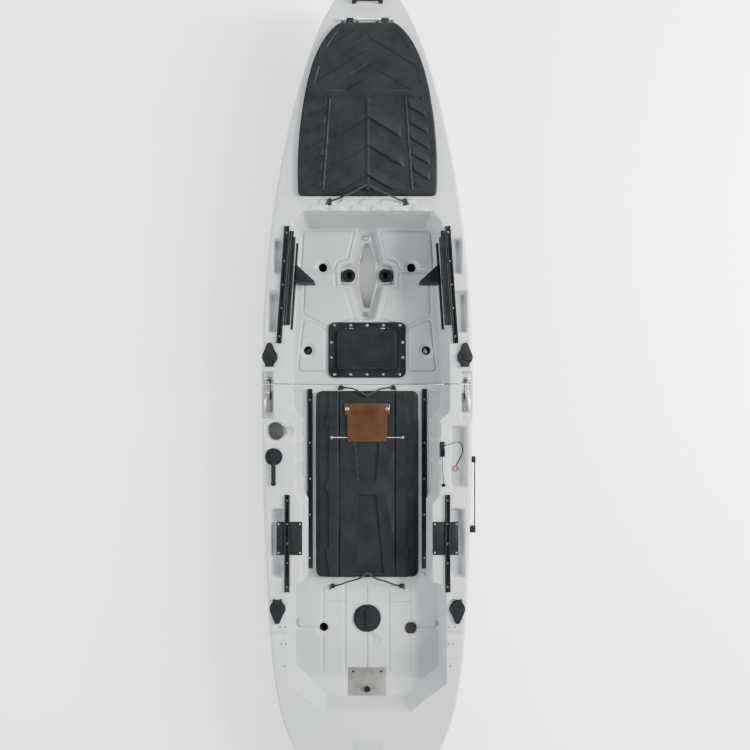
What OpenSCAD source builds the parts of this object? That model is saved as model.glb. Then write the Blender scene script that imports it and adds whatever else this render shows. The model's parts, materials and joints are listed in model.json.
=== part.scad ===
// Two-module sit-on-top pedal kayak.
// +Y is the bow, +X is starboard, +Z is up. Stations are counted along Y from the seam between
// the modules; the origin is under the middle of the overall length, at keel level.

/* [Hull] */
// Beam at the widest station
beam = 896; // [860:4:1080]
// Length of the bow module
bow_len = 1640; // [1600:10:2000]
// Length of the stern module
stern_len = 1660; // [1620:10:2000]
// Height of the gunwale above the keel at the seam
gunwale_z = 330; // [310:5:400]
// Rise of the gunwale at the stem
bow_rise = 80; // [40:5:120]
// Rise of the gunwale at the transom
stern_rise = 30; // [10:5:60]
// Wall thickness of the mouldings
wall = 4.5; // [3.6:0.1:5.4]
// Gap between the two modules
seam_gap = 4; // [2:0.5:6]

/* [Footwell and tank well] */
// Height of the footwell floor above the keel
foot_floor = 125; // [110:5:150]
// Height of the seat platform and tank well floor above the keel
seat_floor = 200; // [180:5:240]
// Length of the footwell
footwell_len = 700; // [680:10:760]
// Station where the tank well starts
tank_start = 830; // [820:5:900]
// Deck left behind the tank well
stern_deck = 330; // [300:10:420]
// Depth of the dish around the drive well
dish_depth = 35; // [20:5:45]
// Radius of a scupper bore
scupper_r = 19; // [15:0.5:23]
// Radius of the cup holder
cup_r = 39; // [34:0.5:40]
// Depth of the cup holder
cup_depth = 90; // [60:5:110]
// Depth of the gunwale pockets
pocket_depth = 30; // [15:5:40]

/* [Hatches] */
// Height of the bow hatch lid
bow_lid_h = 28; // [20:1:36]
// Station of the rear edge of the bow hatch lid
bow_lid_rear = 764; // [755:1:800]
// Deck left ahead of the bow hatch lid
bow_foredeck = 200; // [170:10:260]
// Width of the centre hatch lid
centre_lid_w = 436; // [400:4:450]
// Length of the centre hatch lid
centre_lid_len = 792; // [760:4:796]
// Height of the centre hatch lid
centre_lid_h = 34; // [26:1:44]
// Skin thickness of the moulded lids
lid_skin = 4; // [3:0.5:6]
// Thickness of the hatch seals
seal_h = 4; // [3:0.5:6]
// Width of the deck hatch frame
deck_hatch_w = 340; // [320:4:360]
// Length of the deck hatch frame
deck_hatch_len = 244; // [230:2:250]
// Radius of the round hatch bore
round_hatch_r = 46; // [40:1:50]

/* [Fittings] */
// Width of the gear tracks
track_w = 22; // [18:1:26]
// Height of the gear tracks
track_h = 10; // [8:0.5:14]
// Bore radius of the rod holders
rod_bore_r = 20.5; // [19:0.5:21]
// Depth of the rod holders
rod_depth = 180; // [120:10:190]
// Thickness of the rod-holder caps
rod_cap_h = 8; // [6:1:12]
// Diameter of the bungee cord
bungee_d = 8; // [6:0.5:10]
// Inboard reach of a foot peg
peg_reach = 78; // [60:2:90]
// Length of the steering handle
steer_len = 119; // [90:1:130]
// Length of the rudder blade behind its pivot
blade_len = 280; // [200:10:340]
// Thickness of the rudder blade
blade_t = 10; // [6:1:12]
// Radius of the rudder pin
rudder_pin_r = 5; // [4:0.5:6]

/* [Hidden] */
$fn = 48;

half = beam / 2;
fit = 0.05;            // radial clearance of pins and shafts
gap = 0.3;             // clearance between pieces that slide past each other
lift = 0.6;            // clearance between straight fittings and the swept deck
eps = 1;               // overrun of a cut past a face
open_z = gunwale_z + bow_rise + 60;
hull_steps = 18;
profile = [[0.5, 0], [0.68, 0.04], [0.88, 0.16], [0.97, 0.36], [1, 0.6], [0.985, 0.85], [0.96, 1]];
bow_lift = 190;        // rise of the keel at the stem
stern_lift = 150;      // rise of the keel at the transom
reach = 26 + 40;       // transom to rudder pin, and on to the blade pivot
pin_y = -stern_len - 26;
pivot_y = -stern_len - reach;
pivot_z = 255;
seam_y = (stern_len + reach + blade_len - bow_len) / 2;

// Hull lines, by station u
function bow_half(t) = half * (1 - 0.69 * pow(t, 2.2)) * sqrt(1 - 0.985 * pow(t, 14));
function stern_half(t) = half * (1 - 0.19 * t * t) * sqrt(1 - 0.99 * pow(t, 10));
function half_beam(u) = u >= 0 ? bow_half(u / bow_len) : stern_half(-u / stern_len);
function sheer(u) = gunwale_z
    + (u >= 0 ? bow_rise * pow(u / bow_len, 2.5) : stern_rise * pow(u / stern_len, 2));
function lifted(t) = pow(max(0, t - 0.3) / 0.7, 3);
function keel(u) = u >= 0 ? bow_lift * lifted(u / bow_len) : stern_lift * lifted(-u / stern_len);
function ease(x) = 1 - pow(1 - x, 1.6);
function stations(a, b, n) = [for (i = [0:n]) a + (b - a) * ease(i / n)];
function reversed(list) = [for (i = [len(list) - 1:-1:0]) list[i]];
function mirrored(points) = [for (p = reversed(points)) [-p.x, p.y]];
function hull_ring(u, inset) = let (
        w = half_beam(u) - inset,
        low = keel(u) + inset,
        high = sheer(u) - inset,
        right = [for (p = profile) [w * p.x, low + p.y * (high - low)]])
    [for (p = concat(right, mirrored(right))) [p.x, u, p.y]];

// Plan outlines of the open wells: right-hand side points as [distance in from the beam, station]
footwell_side = [[114, 0], [118, 230], [143, 600], [148, footwell_len - 40], [186, footwell_len]];
tank_end = stern_len - stern_deck;
seat_side = [[130, -tank_end + 110], [186, -tank_end + 70], [278, -tank_end]];
trough_side = concat(reversed(seat_side), [[130, -tank_start - 20], [136, -tank_start],
    [186, -tank_start + 15], [186, -490], [158, -455], [158, -150], [114, -110], [114, 0]]);
function from_beam(side) = [for (p = side) [half - p.x, p.y]];
function grown(side, g, mid) = [for (p = side) [p.x + g, p.y + (p.y > mid ? g : -g)]];
function well_outline(side, g, mid) = let (right = grown(side, g, mid)) concat(right, mirrored(right));
well_side = [[13, 338], [41, 432], [41, 546], [13, 629]];
dish_side = [[20, 284], [32, 294], [70, 440], [120, 441], [120, 522], [69, 536], [36, 687]];
well_mid = 484;

// Positions of fittings, from the centre plane and the seam
scuppers = [[196, 515], [261, 149]];
tank_scupper = [half - 261, -tank_start - 215];
rod_spots = [[half - 48, 110], [half - 81, -tank_start - 88]];
rod_shell_r = rod_bore_r + 2 + gap;
cup_spot = [-(half - 68), -195];
steer_spot = [-(half - 65), -298];
pockets = [[half - 106, half - 62, 450, 598], [half - 93, half - 40, 209, 381]];
rear_pocket = [half - 110, half - 50, -795, -511];
tray = [half - 106, half - 40, -426, -174];
latch_x = half - 36;
latch_u = [-141, 50];
latch_depth = 36;
latch_floor = sheer(0) - latch_depth;
foot_rail_u = [232, 600];
foot_rail_z = 205;
foot_rail_h = 26;
foot_rail_t = 12;
seat_track_x = half - 203;
seat_track_u = [-790, -20];
front_track = [[half - 86, 166], [half - 120, 645]];
rear_track = [[half - 120, -851], [half - 120, -453]];
round_hatch_u = -tank_start - 173;
bow_lid_front = bow_len - bow_foredeck;
centre_lid_front = -28;
centre_lid_mid = centre_lid_front - centre_lid_len / 2;
centre_lid_top = seat_floor + seal_h + centre_lid_h;
deck_hatch_mid = 151;
deck_frame_h = 10;
deck_lid = [261, 176, 10];
deck_lid_z = foot_floor + deck_frame_h + 1.5;

// Builds a closed solid through a list of rings, each with the same number of points
module loft(rings) {
    m = len(rings[0]);
    n = len(rings);
    points = [for (ring = rings) each ring];
    sides = [for (i = [0:n - 2]) for (j = [0:m - 1])
        [i * m + j, i * m + (j + 1) % m, (i + 1) * m + (j + 1) % m, (i + 1) * m + j]];
    start = [for (j = [m - 1:-1:0]) j];
    end = [for (j = [0:m - 1]) (n - 1) * m + j];
    polyhedron(points, concat([start], sides, [end]));
}

// A smooth curve through hand-set points, and a round tube along it
function curve_point(p, i, t) = let (
        a = p[max(i - 1, 0)], b = p[i], c = p[i + 1], d = p[min(i + 2, len(p) - 1)])
    0.5 * (2 * b + (c - a) * t + (2 * a - 5 * b + 4 * c - d) * t * t
        + (3 * b - a - 3 * c + d) * t * t * t);
function smooth(p, per) = concat(
    [for (i = [0:len(p) - 2]) for (k = [0:per - 1]) curve_point(p, i, k / per)], [p[len(p) - 1]]);
function unit(v) = v / norm(v);
function tangent(p, i) = unit(p[min(i + 1, len(p) - 1)] - p[max(i - 1, 0)]);
module tube(route, d, sides) {
    rings = [for (i = [0:len(route) - 1]) let (
            t = tangent(route, i), a = unit(cross(t, [0.1, 0.2, 1])), b = cross(t, a))
        [for (k = [0:sides - 1])
            route[i] + d / 2 * (cos(360 * k / sides) * a - sin(360 * k / sides) * b)]];
    loft(rings);
}

module at_seam() translate([0, seam_y, 0]) children();
module both_sides() {
    children();
    mirror([1, 0, 0]) children();
}
module side(s) {
    if (s > 0) children();
    else mirror([1, 0, 0]) children();
}
// A flat-bottomed cut with square corners, from floor z up through the deck, grown by g
module box_cut(b, z, g) translate([b[0] - g, b[2] - g, z - g])
    cube([b[1] - b[0] + 2 * g, b[3] - b[2] + 2 * g, open_z - z + g]);
module bore_cut(p, r, z) translate([p.x, p.y, z]) cylinder(r = r, h = open_z - z);
module round_rect(w, l, r) {
    square([w - 2 * r, l], center = true);
    square([w, l - 2 * r], center = true);
    for (x = [-1, 1], y = [-1, 1]) translate([x * (w / 2 - r), y * (l / 2 - r)]) circle(r = r);
}
module along_x(r, h) rotate([0, 90, 0]) cylinder(r = r, h = h, center = true);

// Every recess and through bore of the bow module, grown by g
module bow_cut(g) {
    translate([0, 0, foot_floor - g]) linear_extrude(open_z)
        polygon(well_outline(concat([[half - 114, -2 * wall]], from_beam(footwell_side)), g, 1));
    translate([0, 0, foot_floor - dish_depth - g]) linear_extrude(open_z - foot_floor)
        polygon(well_outline(dish_side, g, well_mid));
    translate([0, 0, -eps]) linear_extrude(foot_floor) polygon(well_outline(well_side, g, well_mid));
    both_sides() {
        for (p = pockets) box_cut(p, sheer(p[2]) - pocket_depth, g);
        for (p = scuppers) bore_cut(p, scupper_r + g, -eps);
        bore_cut(rod_spots[0], rod_shell_r + g, gunwale_z - rod_depth - g);
        box_cut([half - 62, half + eps, -2 * wall, latch_u[1]], latch_floor, g);
    }
}
// Every recess and through bore of the stern module, grown by g
module stern_cut(g) {
    difference() {
        translate([0, 0, seat_floor - g]) linear_extrude(open_z)
            polygon(well_outline(concat(from_beam(trough_side), [[half - 114, 2 * wall]]), g, -1));
        translate([-half, -tank_end - g - eps, seat_floor - g]) rotate([90, 0, 90])
            linear_extrude(beam) polygon([[0, -g - eps], [74 + g, -g - eps], [74 + g, 0], [0, 36]]);
    }
    both_sides() {
        box_cut(rear_pocket, sheer(-511) - pocket_depth, g);
        bore_cut(tank_scupper, scupper_r + g, -eps);
        bore_cut(rod_spots[1], rod_shell_r + g, sheer(-918) - rod_depth - g);
        box_cut([half - 62, half + eps, latch_u[0], 2 * wall], latch_floor, g);
    }
    bore_cut(cup_spot, cup_r + g, gunwale_z - cup_depth - g);
    box_cut(tray, gunwale_z - 34, g);
}
module locating_bores() both_sides()
    translate([half - 68, 0, 130]) rotate([90, 0, 0]) cylinder(r = 10 + fit, h = 10 * wall, center = true);

bow_rings = [for (u = stations(seam_gap / 2, bow_len, hull_steps)) hull_ring(u, 0)];
bow_inner = [for (u = stations(seam_gap / 2 + wall, bow_len - 3.2 * wall, hull_steps)) hull_ring(u, wall)];
stern_rings = reversed([for (u = stations(-seam_gap / 2, -stern_len, hull_steps)) hull_ring(u, 0)]);
stern_inner = reversed([for (u = stations(-seam_gap / 2 - wall, -stern_len + 3.2 * wall, hull_steps))
    hull_ring(u, wall)]);

module bow_module() color([0.74, 0.76, 0.77]) at_seam() difference() {
    loft(bow_rings);
    bow_cut(0);
    difference() {
        loft(bow_inner);
        bow_cut(wall);
    }
    translate([0, 0, sheer(0)]) linear_extrude(open_z) polygon(well_outline(
        [for (u = [bow_lid_rear + 52, (bow_lid_rear + bow_lid_front) / 2, bow_lid_front - 70])
            [lid_half(u) - 50, u]], 0, 0));
    translate([0, deck_hatch_mid, foot_floor - 3 * wall]) linear_extrude(4 * wall) round_rect(250, 165, 16);
    locating_bores();
}
module stern_module() color([0.74, 0.76, 0.77]) at_seam() difference() {
    loft(stern_rings);
    stern_cut(0);
    difference() {
        loft(stern_inner);
        stern_cut(wall);
    }
    translate([0, centre_lid_mid, seat_floor - 3 * wall]) linear_extrude(4 * wall)
        round_rect(centre_lid_w - 70, centre_lid_len - 70, 24);
    translate([0, round_hatch_u, seat_floor - 3 * wall]) cylinder(r = round_hatch_r + 2, h = 4 * wall);
    translate([steer_spot.x, steer_spot.y, gunwale_z - 3 * wall]) cylinder(r = 9, h = 6 * wall);
    both_sides() translate([22, -stern_len, pivot_z + 80]) rotate([90, 0, 0])
        cylinder(r = 5, h = 12 * wall, center = true);
    locating_bores();
}
module seam_seal() color([0.07, 0.07, 0.08]) at_seam() {
    both_sides() translate([half - 100, -seam_gap / 2 + fit, 60]) cube([62, seam_gap - 2 * fit, 50]);
    translate([-half / 2, -seam_gap / 2 + fit, 30]) cube([half, seam_gap - 2 * fit, 60]);
}
module module_pins() color([0.7, 0.7, 0.72]) at_seam() both_sides()
    translate([half - 68, 0, 130]) rotate([90, 0, 0]) cylinder(r = 10, h = 80, center = true);

// Bow hatch: a shallow cap that follows the sheer
lid_span = bow_lid_front - bow_lid_rear;
function lid_half(u) = let (s = (u - bow_lid_rear) / lid_span)
    (half_beam(u) - 36 - 73 * pow(1 - s, 2)) * sqrt(1 - 0.55 * pow(s, 12));
function lid_ring(u, inset, low, high) = let (w = lid_half(u) - inset, z = sheer(u), c = min(12, w / 4))
    [[w, u, z + low], [w, u, z + high - c / 2], [w - c, u, z + high],
     [c - w, u, z + high], [-w, u, z + high - c / 2], [-w, u, z + low]];
lid_pin = [bow_lid_front + 12, sheer(bow_lid_front) + seal_h + 14];
module bow_hatch_lid() color([0.12, 0.13, 0.14]) at_seam() {
    top = seal_h + bow_lid_h;
    difference() {
        loft([for (u = stations(bow_lid_rear, bow_lid_front, 12)) lid_ring(u, 0, seal_h + lift, top)]);
        loft([for (u = stations(bow_lid_rear + lid_skin, bow_lid_front - lid_skin, 12))
            lid_ring(u, lid_skin, -eps, top - lid_skin)]);
    }
    translate([0, bow_lid_rear + 22, sheer(bow_lid_rear) + top - 1]) cylinder(r = 6, h = 13);
    difference() {
        for (x = [-70, 70]) translate([x, 0, 0]) {
            translate([0, lid_pin.x, lid_pin.y]) along_x(7, 30);
            translate([-15, bow_lid_front - lid_skin / 2, lid_pin.y - 5]) cube([30, 12, 10]);
        }
        translate([0, lid_pin.x, lid_pin.y]) along_x(4 + fit, beam);
    }
}
function seal_ring(u, inset, low, high) = let (w = lid_half(u) - inset, z = sheer(u))
    [[w, u, z + low], [w, u, z + high], [-w, u, z + high], [-w, u, z + low]];
module bow_hatch_seal() color([0.05, 0.05, 0.05]) at_seam() difference() {
    loft([for (u = stations(bow_lid_rear + 6, bow_lid_front - 6, 12)) seal_ring(u, 6, lift, seal_h)]);
    loft([for (u = stations(bow_lid_rear + 18, bow_lid_front - 18, 12)) seal_ring(u, 18, -eps, seal_h + 2)]);
}
module bow_hatch_pin() color([0.7, 0.7, 0.72]) at_seam() {
    translate([0, lid_pin.x, lid_pin.y]) along_x(4, 216);
    difference() {
        for (x = [-100, -40, 40, 100]) translate([x, lid_pin.x, 0]) {
            translate([0, 0, lid_pin.y]) along_x(7, 12);
            translate([-6, -7, sheer(lid_pin.x) + lift]) cube([12, 14, lid_pin.y - sheer(lid_pin.x) - lift]);
        }
        translate([0, lid_pin.x, lid_pin.y]) along_x(4 - fit, 214);
    }
}

// Elastic cords, along their real routes
bow_bungee_route = [[-150, 744, 354], [-122, 748, 366], [-94, 755, 383], [-56, 772, 384], [-22, 790, 384],
    [0, 798, 384], [22, 790, 384], [56, 772, 384], [94, 755, 383], [122, 748, 366], [150, 744, 354]];
front_bungee_route = [[-107, -14, 212], [-84, -16, 228], [-58, -20, 245], [-24, -36, 246], [0, -48, 246],
    [24, -36, 246], [58, -20, 245], [84, -16, 228], [107, -14, 212]];
rear_bungee_route = [[-143, -862, 212], [-116, -852, 230], [-84, -836, 246], [-32, -820, 246],
    [0, -798, 246], [32, -820, 246], [84, -836, 246], [116, -852, 230], [143, -862, 212]];
module bow_bungee() color([0.1, 0.1, 0.11]) at_seam() tube(smooth(bow_bungee_route, 2), bungee_d, 10);
module centre_front_bungee() color([0.1, 0.1, 0.11]) at_seam()
    tube(smooth(front_bungee_route, 1), bungee_d, 10);
module centre_rear_bungee() color([0.1, 0.1, 0.11]) at_seam()
    tube(smooth(rear_bungee_route, 1), bungee_d, 10);
// A pad eye: a round foot with a raised post that the cord end is knotted to
module pad_eye(p, z, top) translate([p.x, p.y, z]) {
    cylinder(r = 11, h = 3);
    cylinder(r = 6, h = top - z);
}
module bungee_eyes() color([0.08, 0.08, 0.09]) at_seam() both_sides() {
    pad_eye([154, 738], sheer(744) + lift, 352);
    pad_eye([112, -14], seat_floor, 209);
    pad_eye([148, -866], seat_floor, 209);
}

// Deck hatch in the footwell floor
deck_screws = [for (x = [-143, -71, 0, 71, 143], y = [-1, 1]) [x, y * (deck_hatch_len / 2 - 14)],
    for (x = [-1, 1], y = [-33, 33]) [x * (deck_hatch_w / 2 - 14), y]];
deck_pin = [deck_lid.y / 2 + 5, deck_lid_z + deck_lid.z / 2];
module at_deck_hatch() at_seam() translate([0, deck_hatch_mid, 0]) children();
module deck_hatch_frame() color([0.12, 0.13, 0.14]) at_deck_hatch() {
    difference() {
        translate([0, 0, foot_floor]) linear_extrude(deck_frame_h) round_rect(deck_hatch_w, deck_hatch_len, 30);
        translate([0, 0, foot_floor - eps]) linear_extrude(2 * deck_frame_h) round_rect(228, 143, 12);
        for (p = deck_screws) translate([p.x, p.y, foot_floor - eps]) cylinder(r = 3, h = 2 * deck_frame_h);
    }
    difference() {
        for (x = [-86, 86]) translate([x, deck_pin[0], 0]) {
            translate([0, 0, deck_pin[1]]) along_x(4.5, 12);
            translate([-6, -3, foot_floor + deck_frame_h - eps]) cube([12, 6, deck_pin[1] - foot_floor - deck_frame_h]);
        }
        translate([0, deck_pin[0], deck_pin[1]]) along_x(2.5 + fit, beam);
    }
}
module deck_hatch_lid() color([0.12, 0.13, 0.14]) at_deck_hatch() difference() {
    union() {
        difference() {
            translate([0, 0, deck_lid_z]) linear_extrude(deck_lid.z) round_rect(deck_lid.x, deck_lid.y, 14);
            translate([0, 0, deck_lid_z - eps]) linear_extrude(deck_lid.z + eps - lid_skin)
                round_rect(deck_lid.x - 30, deck_lid.y - 30, 10);
        }
        translate([0, deck_pin[0], deck_pin[1]]) along_x(4.5, 120);
        translate([-60, deck_lid.y / 2 - 1, deck_pin[1] - 3]) cube([120, 5, 6]);
    }
    translate([0, deck_pin[0], deck_pin[1]]) along_x(2.5 + fit, beam);
    translate([0, 28 - deck_lid.y / 2, deck_lid_z + deck_lid.z - 2]) cylinder(r = 13, h = 4);
}
module deck_hatch_seal() color([0.05, 0.05, 0.05]) at_deck_hatch() difference() {
    translate([0, 0, foot_floor + deck_frame_h]) linear_extrude(1.2) round_rect(deck_lid.x - 4, deck_lid.y - 4, 12);
    translate([0, 0, foot_floor]) linear_extrude(2 * deck_frame_h) round_rect(deck_lid.x - 24, deck_lid.y - 24, 9);
}
module deck_hatch_pin() color([0.7, 0.7, 0.72]) at_deck_hatch()
    translate([0, deck_pin[0], deck_pin[1]]) along_x(2.5, 190);
module deck_hatch_screws() color([0.75, 0.75, 0.77]) at_deck_hatch()
    for (p = deck_screws) translate([p.x, p.y, foot_floor]) {
        cylinder(r = 3 - fit, h = deck_frame_h);
        translate([0, 0, deck_frame_h]) cylinder(r = 5.5, h = 2.5);
    }

// Centre hatch on the seat platform
module at_centre_lid(z) at_seam() translate([0, centre_lid_mid, z]) children();
module centre_hatch_lid() color([0.12, 0.13, 0.14]) {
    at_centre_lid(seat_floor + seal_h) difference() {
        linear_extrude(centre_lid_h) round_rect(centre_lid_w, centre_lid_len, 28);
        translate([0, 0, -eps]) linear_extrude(centre_lid_h + eps - lid_skin)
            round_rect(centre_lid_w - 2 * lid_skin, centre_lid_len - 2 * lid_skin, 24);
    }
    at_centre_lid(centre_lid_top - eps) for (y = [-1, 1])
        translate([0, y * (centre_lid_len / 2 - 10), 0]) cylinder(r = 5, h = 12);
}
module centre_hatch_seal() color([0.05, 0.05, 0.05]) at_centre_lid(seat_floor) difference() {
    linear_extrude(seal_h - gap) round_rect(centre_lid_w - 6, centre_lid_len - 6, 26);
    translate([0, 0, -eps]) linear_extrude(2 * seal_h) round_rect(centre_lid_w - 36, centre_lid_len - 36, 14);
}
panel = [190, 160, 8];
panel_u = -163;
module lid_panel() color([0.35, 0.2, 0.13]) at_seam() translate([0, panel_u, centre_lid_top])
    linear_extrude(panel.z) polygon([[-95, 80], [95, 80], [95, 34], [85, 34], [83, -80], [-83, -80],
        [-85, 34], [-95, 34]]);
module lid_panel_screws() color([0.8, 0.78, 0.74]) at_seam() both_sides()
    translate([85, panel_u + 58, centre_lid_top + panel.z]) cylinder(r = 8, h = 4);
module lid_panel_cord() color([0.2, 0.2, 0.2]) at_seam() both_sides() {
    tube([[144, -226, centre_lid_top + 5], [116, -226, centre_lid_top + 4], [84, -226, centre_lid_top + 4]], 3, 8);
    translate([150, -226, centre_lid_top]) cylinder(r = 6, h = 8);
}

// Foot braces: rails on the footwell walls, with sliding pegs
function wall_x(u) = half - 118 - 25 * (u - 230) / 370;
foot_u = 472;
module foot_rails() color([0.1, 0.1, 0.11]) at_seam() both_sides() translate([0, 0, foot_rail_z])
    linear_extrude(foot_rail_h) polygon([for (u = foot_rail_u) [wall_x(u), u],
        for (u = reversed(foot_rail_u)) [wall_x(u) - foot_rail_t, u]]);
module foot_peg() at_seam() {
    inner = foot_rail_t + gap;
    translate([0, 0, foot_rail_z - 8]) linear_extrude(foot_rail_h + 16) polygon([
        [wall_x(foot_u - 35) - inner, foot_u - 35], [wall_x(foot_u + 35) - inner, foot_u + 35],
        [wall_x(foot_u) - inner - peg_reach, foot_u - 35]]);
    translate([0, 0, foot_rail_z - 40]) linear_extrude(foot_rail_h + 84) polygon([
        [wall_x(foot_u - 35) - inner, foot_u - 35], [wall_x(foot_u) - inner - peg_reach, foot_u - 35],
        [wall_x(foot_u) - inner - peg_reach, foot_u - 44], [wall_x(foot_u - 44) - inner, foot_u - 44]]);
}
module foot_peg_left() color([0.1, 0.1, 0.11]) side(-1) foot_peg();
module foot_peg_right() color([0.1, 0.1, 0.11]) side(1) foot_peg();

// Gear tracks: slotted rails, straight between two points
module track_profile() {
    t = 2.5;
    lip = 6.5;
    polygon([[-track_w / 2, 0], [track_w / 2, 0], [track_w / 2, -track_h], [track_w / 2 - lip, -track_h],
        [track_w / 2 - lip, t - track_h], [track_w / 2 - t, t - track_h], [track_w / 2 - t, -t],
        [t - track_w / 2, -t], [t - track_w / 2, t - track_h], [lip - track_w / 2, t - track_h],
        [lip - track_w / 2, -track_h], [-track_w / 2, -track_h]]);
}
module track(a, b) {
    d = b - a;
    translate(a) rotate([asin(d.z / norm(d)), 0, -atan2(d.x, d.y)]) rotate([-90, 0, 0])
        linear_extrude(norm(d)) track_profile();
}
function on_deck(p) = [p.x, p.y, sheer(p.y) + lift];
function between(a, b, s) = a + (b - a) * s;
front_track_ends = [on_deck(front_track[0]), on_deck(front_track[1])];
rear_track_ends = [on_deck(rear_track[0]), on_deck(rear_track[1])];
seat_track_ends = [for (u = seat_track_u) [seat_track_x, u, seat_floor]];
module front_gear_tracks() color([0.09, 0.09, 0.1]) at_seam() both_sides()
    track(front_track_ends[0], front_track_ends[1]);
module rear_gear_tracks() color([0.09, 0.09, 0.1]) at_seam() both_sides()
    track(rear_track_ends[0], rear_track_ends[1]);
module seat_tracks() color([0.09, 0.09, 0.1]) at_seam() both_sides()
    track(seat_track_ends[0], seat_track_ends[1]);
module track_screws() color([0.75, 0.75, 0.77]) at_seam() both_sides()
    for (ends = [front_track_ends, rear_track_ends, seat_track_ends], s = [0.06, 0.3, 0.5, 0.7, 0.94])
        translate(between(ends[0], ends[1], s) + [0, 0, 2.5 + gap]) cylinder(r = 4, h = 2.5);

// Rod holders with hinged caps
rod_flange_h = 4;
function rod_z(i) = sheer(rod_spots[i].y) + 2 * lift;
module rod_holders() color([0.1, 0.1, 0.11]) at_seam() both_sides() for (i = [0, 1])
    translate([rod_spots[i].x, rod_spots[i].y, rod_z(i)]) difference() {
        union() {
            translate([0, 0, 4 - rod_depth]) cylinder(r = rod_bore_r + 2, h = rod_depth - 4);
            cylinder(r = 33, h = rod_flange_h);
            for (x = [-15, 15]) translate([x, -rod_dir(i) * 36, rod_flange_h + 5]) {
                along_x(4.5, 7);
                translate([-3.5, -4, -8]) cube([7, 8, 8]);
            }
            for (x = [-15, 15]) translate([x - 3.5, -rod_dir(i) * 33 - 7, 0]) cube([7, 14, rod_flange_h]);
        }
        translate([0, 0, 6 - rod_depth]) cylinder(r = rod_bore_r, h = rod_depth + 2 * rod_flange_h);
        translate([0, -rod_dir(i) * 36, rod_flange_h + 5]) along_x(2 + fit, beam / 10);
    }
// The cap hinges on the side that faces the seam, and its finger tab faces away
function rod_dir(i) = i == 0 ? 1 : -1;
module rod_cap(i, s) at_seam() side(s)
    translate([rod_spots[i].x, rod_spots[i].y, rod_z(i) + rod_flange_h + gap]) {
        linear_extrude(rod_cap_h) {
            circle(r = 35 - 4);
            polygon([[-28, 12 * rod_dir(i)], [28, 12 * rod_dir(i)], [12, 52 * rod_dir(i)], [-12, 52 * rod_dir(i)]]);
            translate([0, 48 * rod_dir(i)]) circle(r = 12);
        }
        translate([0, -rod_dir(i) * 36, 5 - gap]) difference() {
            union() {
                along_x(4.5, 22);
                translate([-11, min(0, rod_dir(i) * 8), -1]) cube([22, 8, 5]);
            }
            along_x(2 + fit, 30);
        }
    }
module rod_cap_front_left() color([0.1, 0.1, 0.11]) rod_cap(0, -1);
module rod_cap_front_right() color([0.1, 0.1, 0.11]) rod_cap(0, 1);
module rod_cap_rear_left() color([0.1, 0.1, 0.11]) rod_cap(1, -1);
module rod_cap_rear_right() color([0.1, 0.1, 0.11]) rod_cap(1, 1);
module rod_cap_pins() color([0.7, 0.7, 0.72]) at_seam() both_sides() for (i = [0, 1])
    translate([rod_spots[i].x, rod_spots[i].y - rod_dir(i) * 36, rod_z(i) + rod_flange_h + 5]) along_x(2, 38);

// Side latches: base on the stern module, keeper on the bow module
latch_pivot = [-40, latch_floor + 16];
loop_pivot = [-62, latch_floor + 14];
keeper_u = 16;
module at_latch() at_seam() translate([latch_x, 0, 0]) children();
module latch_bases() color([0.72, 0.72, 0.74]) both_sides() at_latch() {
    translate([-15, -118, latch_floor]) cube([30, 92, 3]);
    translate([-4, latch_pivot[0] - 5, latch_floor + 2]) cube([8, 10, latch_pivot[1] - latch_floor - 2]);
    translate([0, latch_pivot[0], latch_pivot[1]]) along_x(5, 8);
    translate([0, latch_pivot[0], latch_pivot[1]]) along_x(2.5, 17);
}
module latch_keepers() color([0.72, 0.72, 0.74]) both_sides() at_latch() {
    translate([-12, 4, latch_floor]) cube([24, 24, 3]);
    translate([-8, keeper_u - 8, latch_floor + 2]) cube([16, 4, 16]);
}
module latch_lever() at_latch() difference() {
    union() {
        for (x = [-8, 4.5]) translate([x, 0, 0]) {
            translate([1.75, latch_pivot[0], latch_pivot[1]]) along_x(6, 3.5);
            translate([0, -75, latch_pivot[1] - 4]) cube([3.5, 35, 10]);
        }
        translate([-8, -112, latch_pivot[1] + 5.5]) cube([16, 64, 3]);
    }
    translate([0, latch_pivot[0], latch_pivot[1]]) along_x(2.5 + fit, 40);
    translate([0, loop_pivot[0], loop_pivot[1]]) along_x(2 + fit, 40);
}
module latch_loop() at_latch() {
    translate([0, loop_pivot[0], loop_pivot[1]]) along_x(2, 26);
    translate([0, keeper_u, loop_pivot[1]]) along_x(2, 26);
    for (x = [-11, 11]) translate([x, loop_pivot[0], loop_pivot[1]]) rotate([-90, 0, 0])
        cylinder(r = 2, h = keeper_u - loop_pivot[0]);
}
module latch_lever_left() color([0.78, 0.78, 0.8]) side(-1) latch_lever();
module latch_lever_right() color([0.78, 0.78, 0.8]) side(1) latch_lever();
module latch_loop_left() color([0.15, 0.15, 0.16]) side(-1) latch_loop();
module latch_loop_right() color([0.15, 0.15, 0.16]) side(1) latch_loop();

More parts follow.
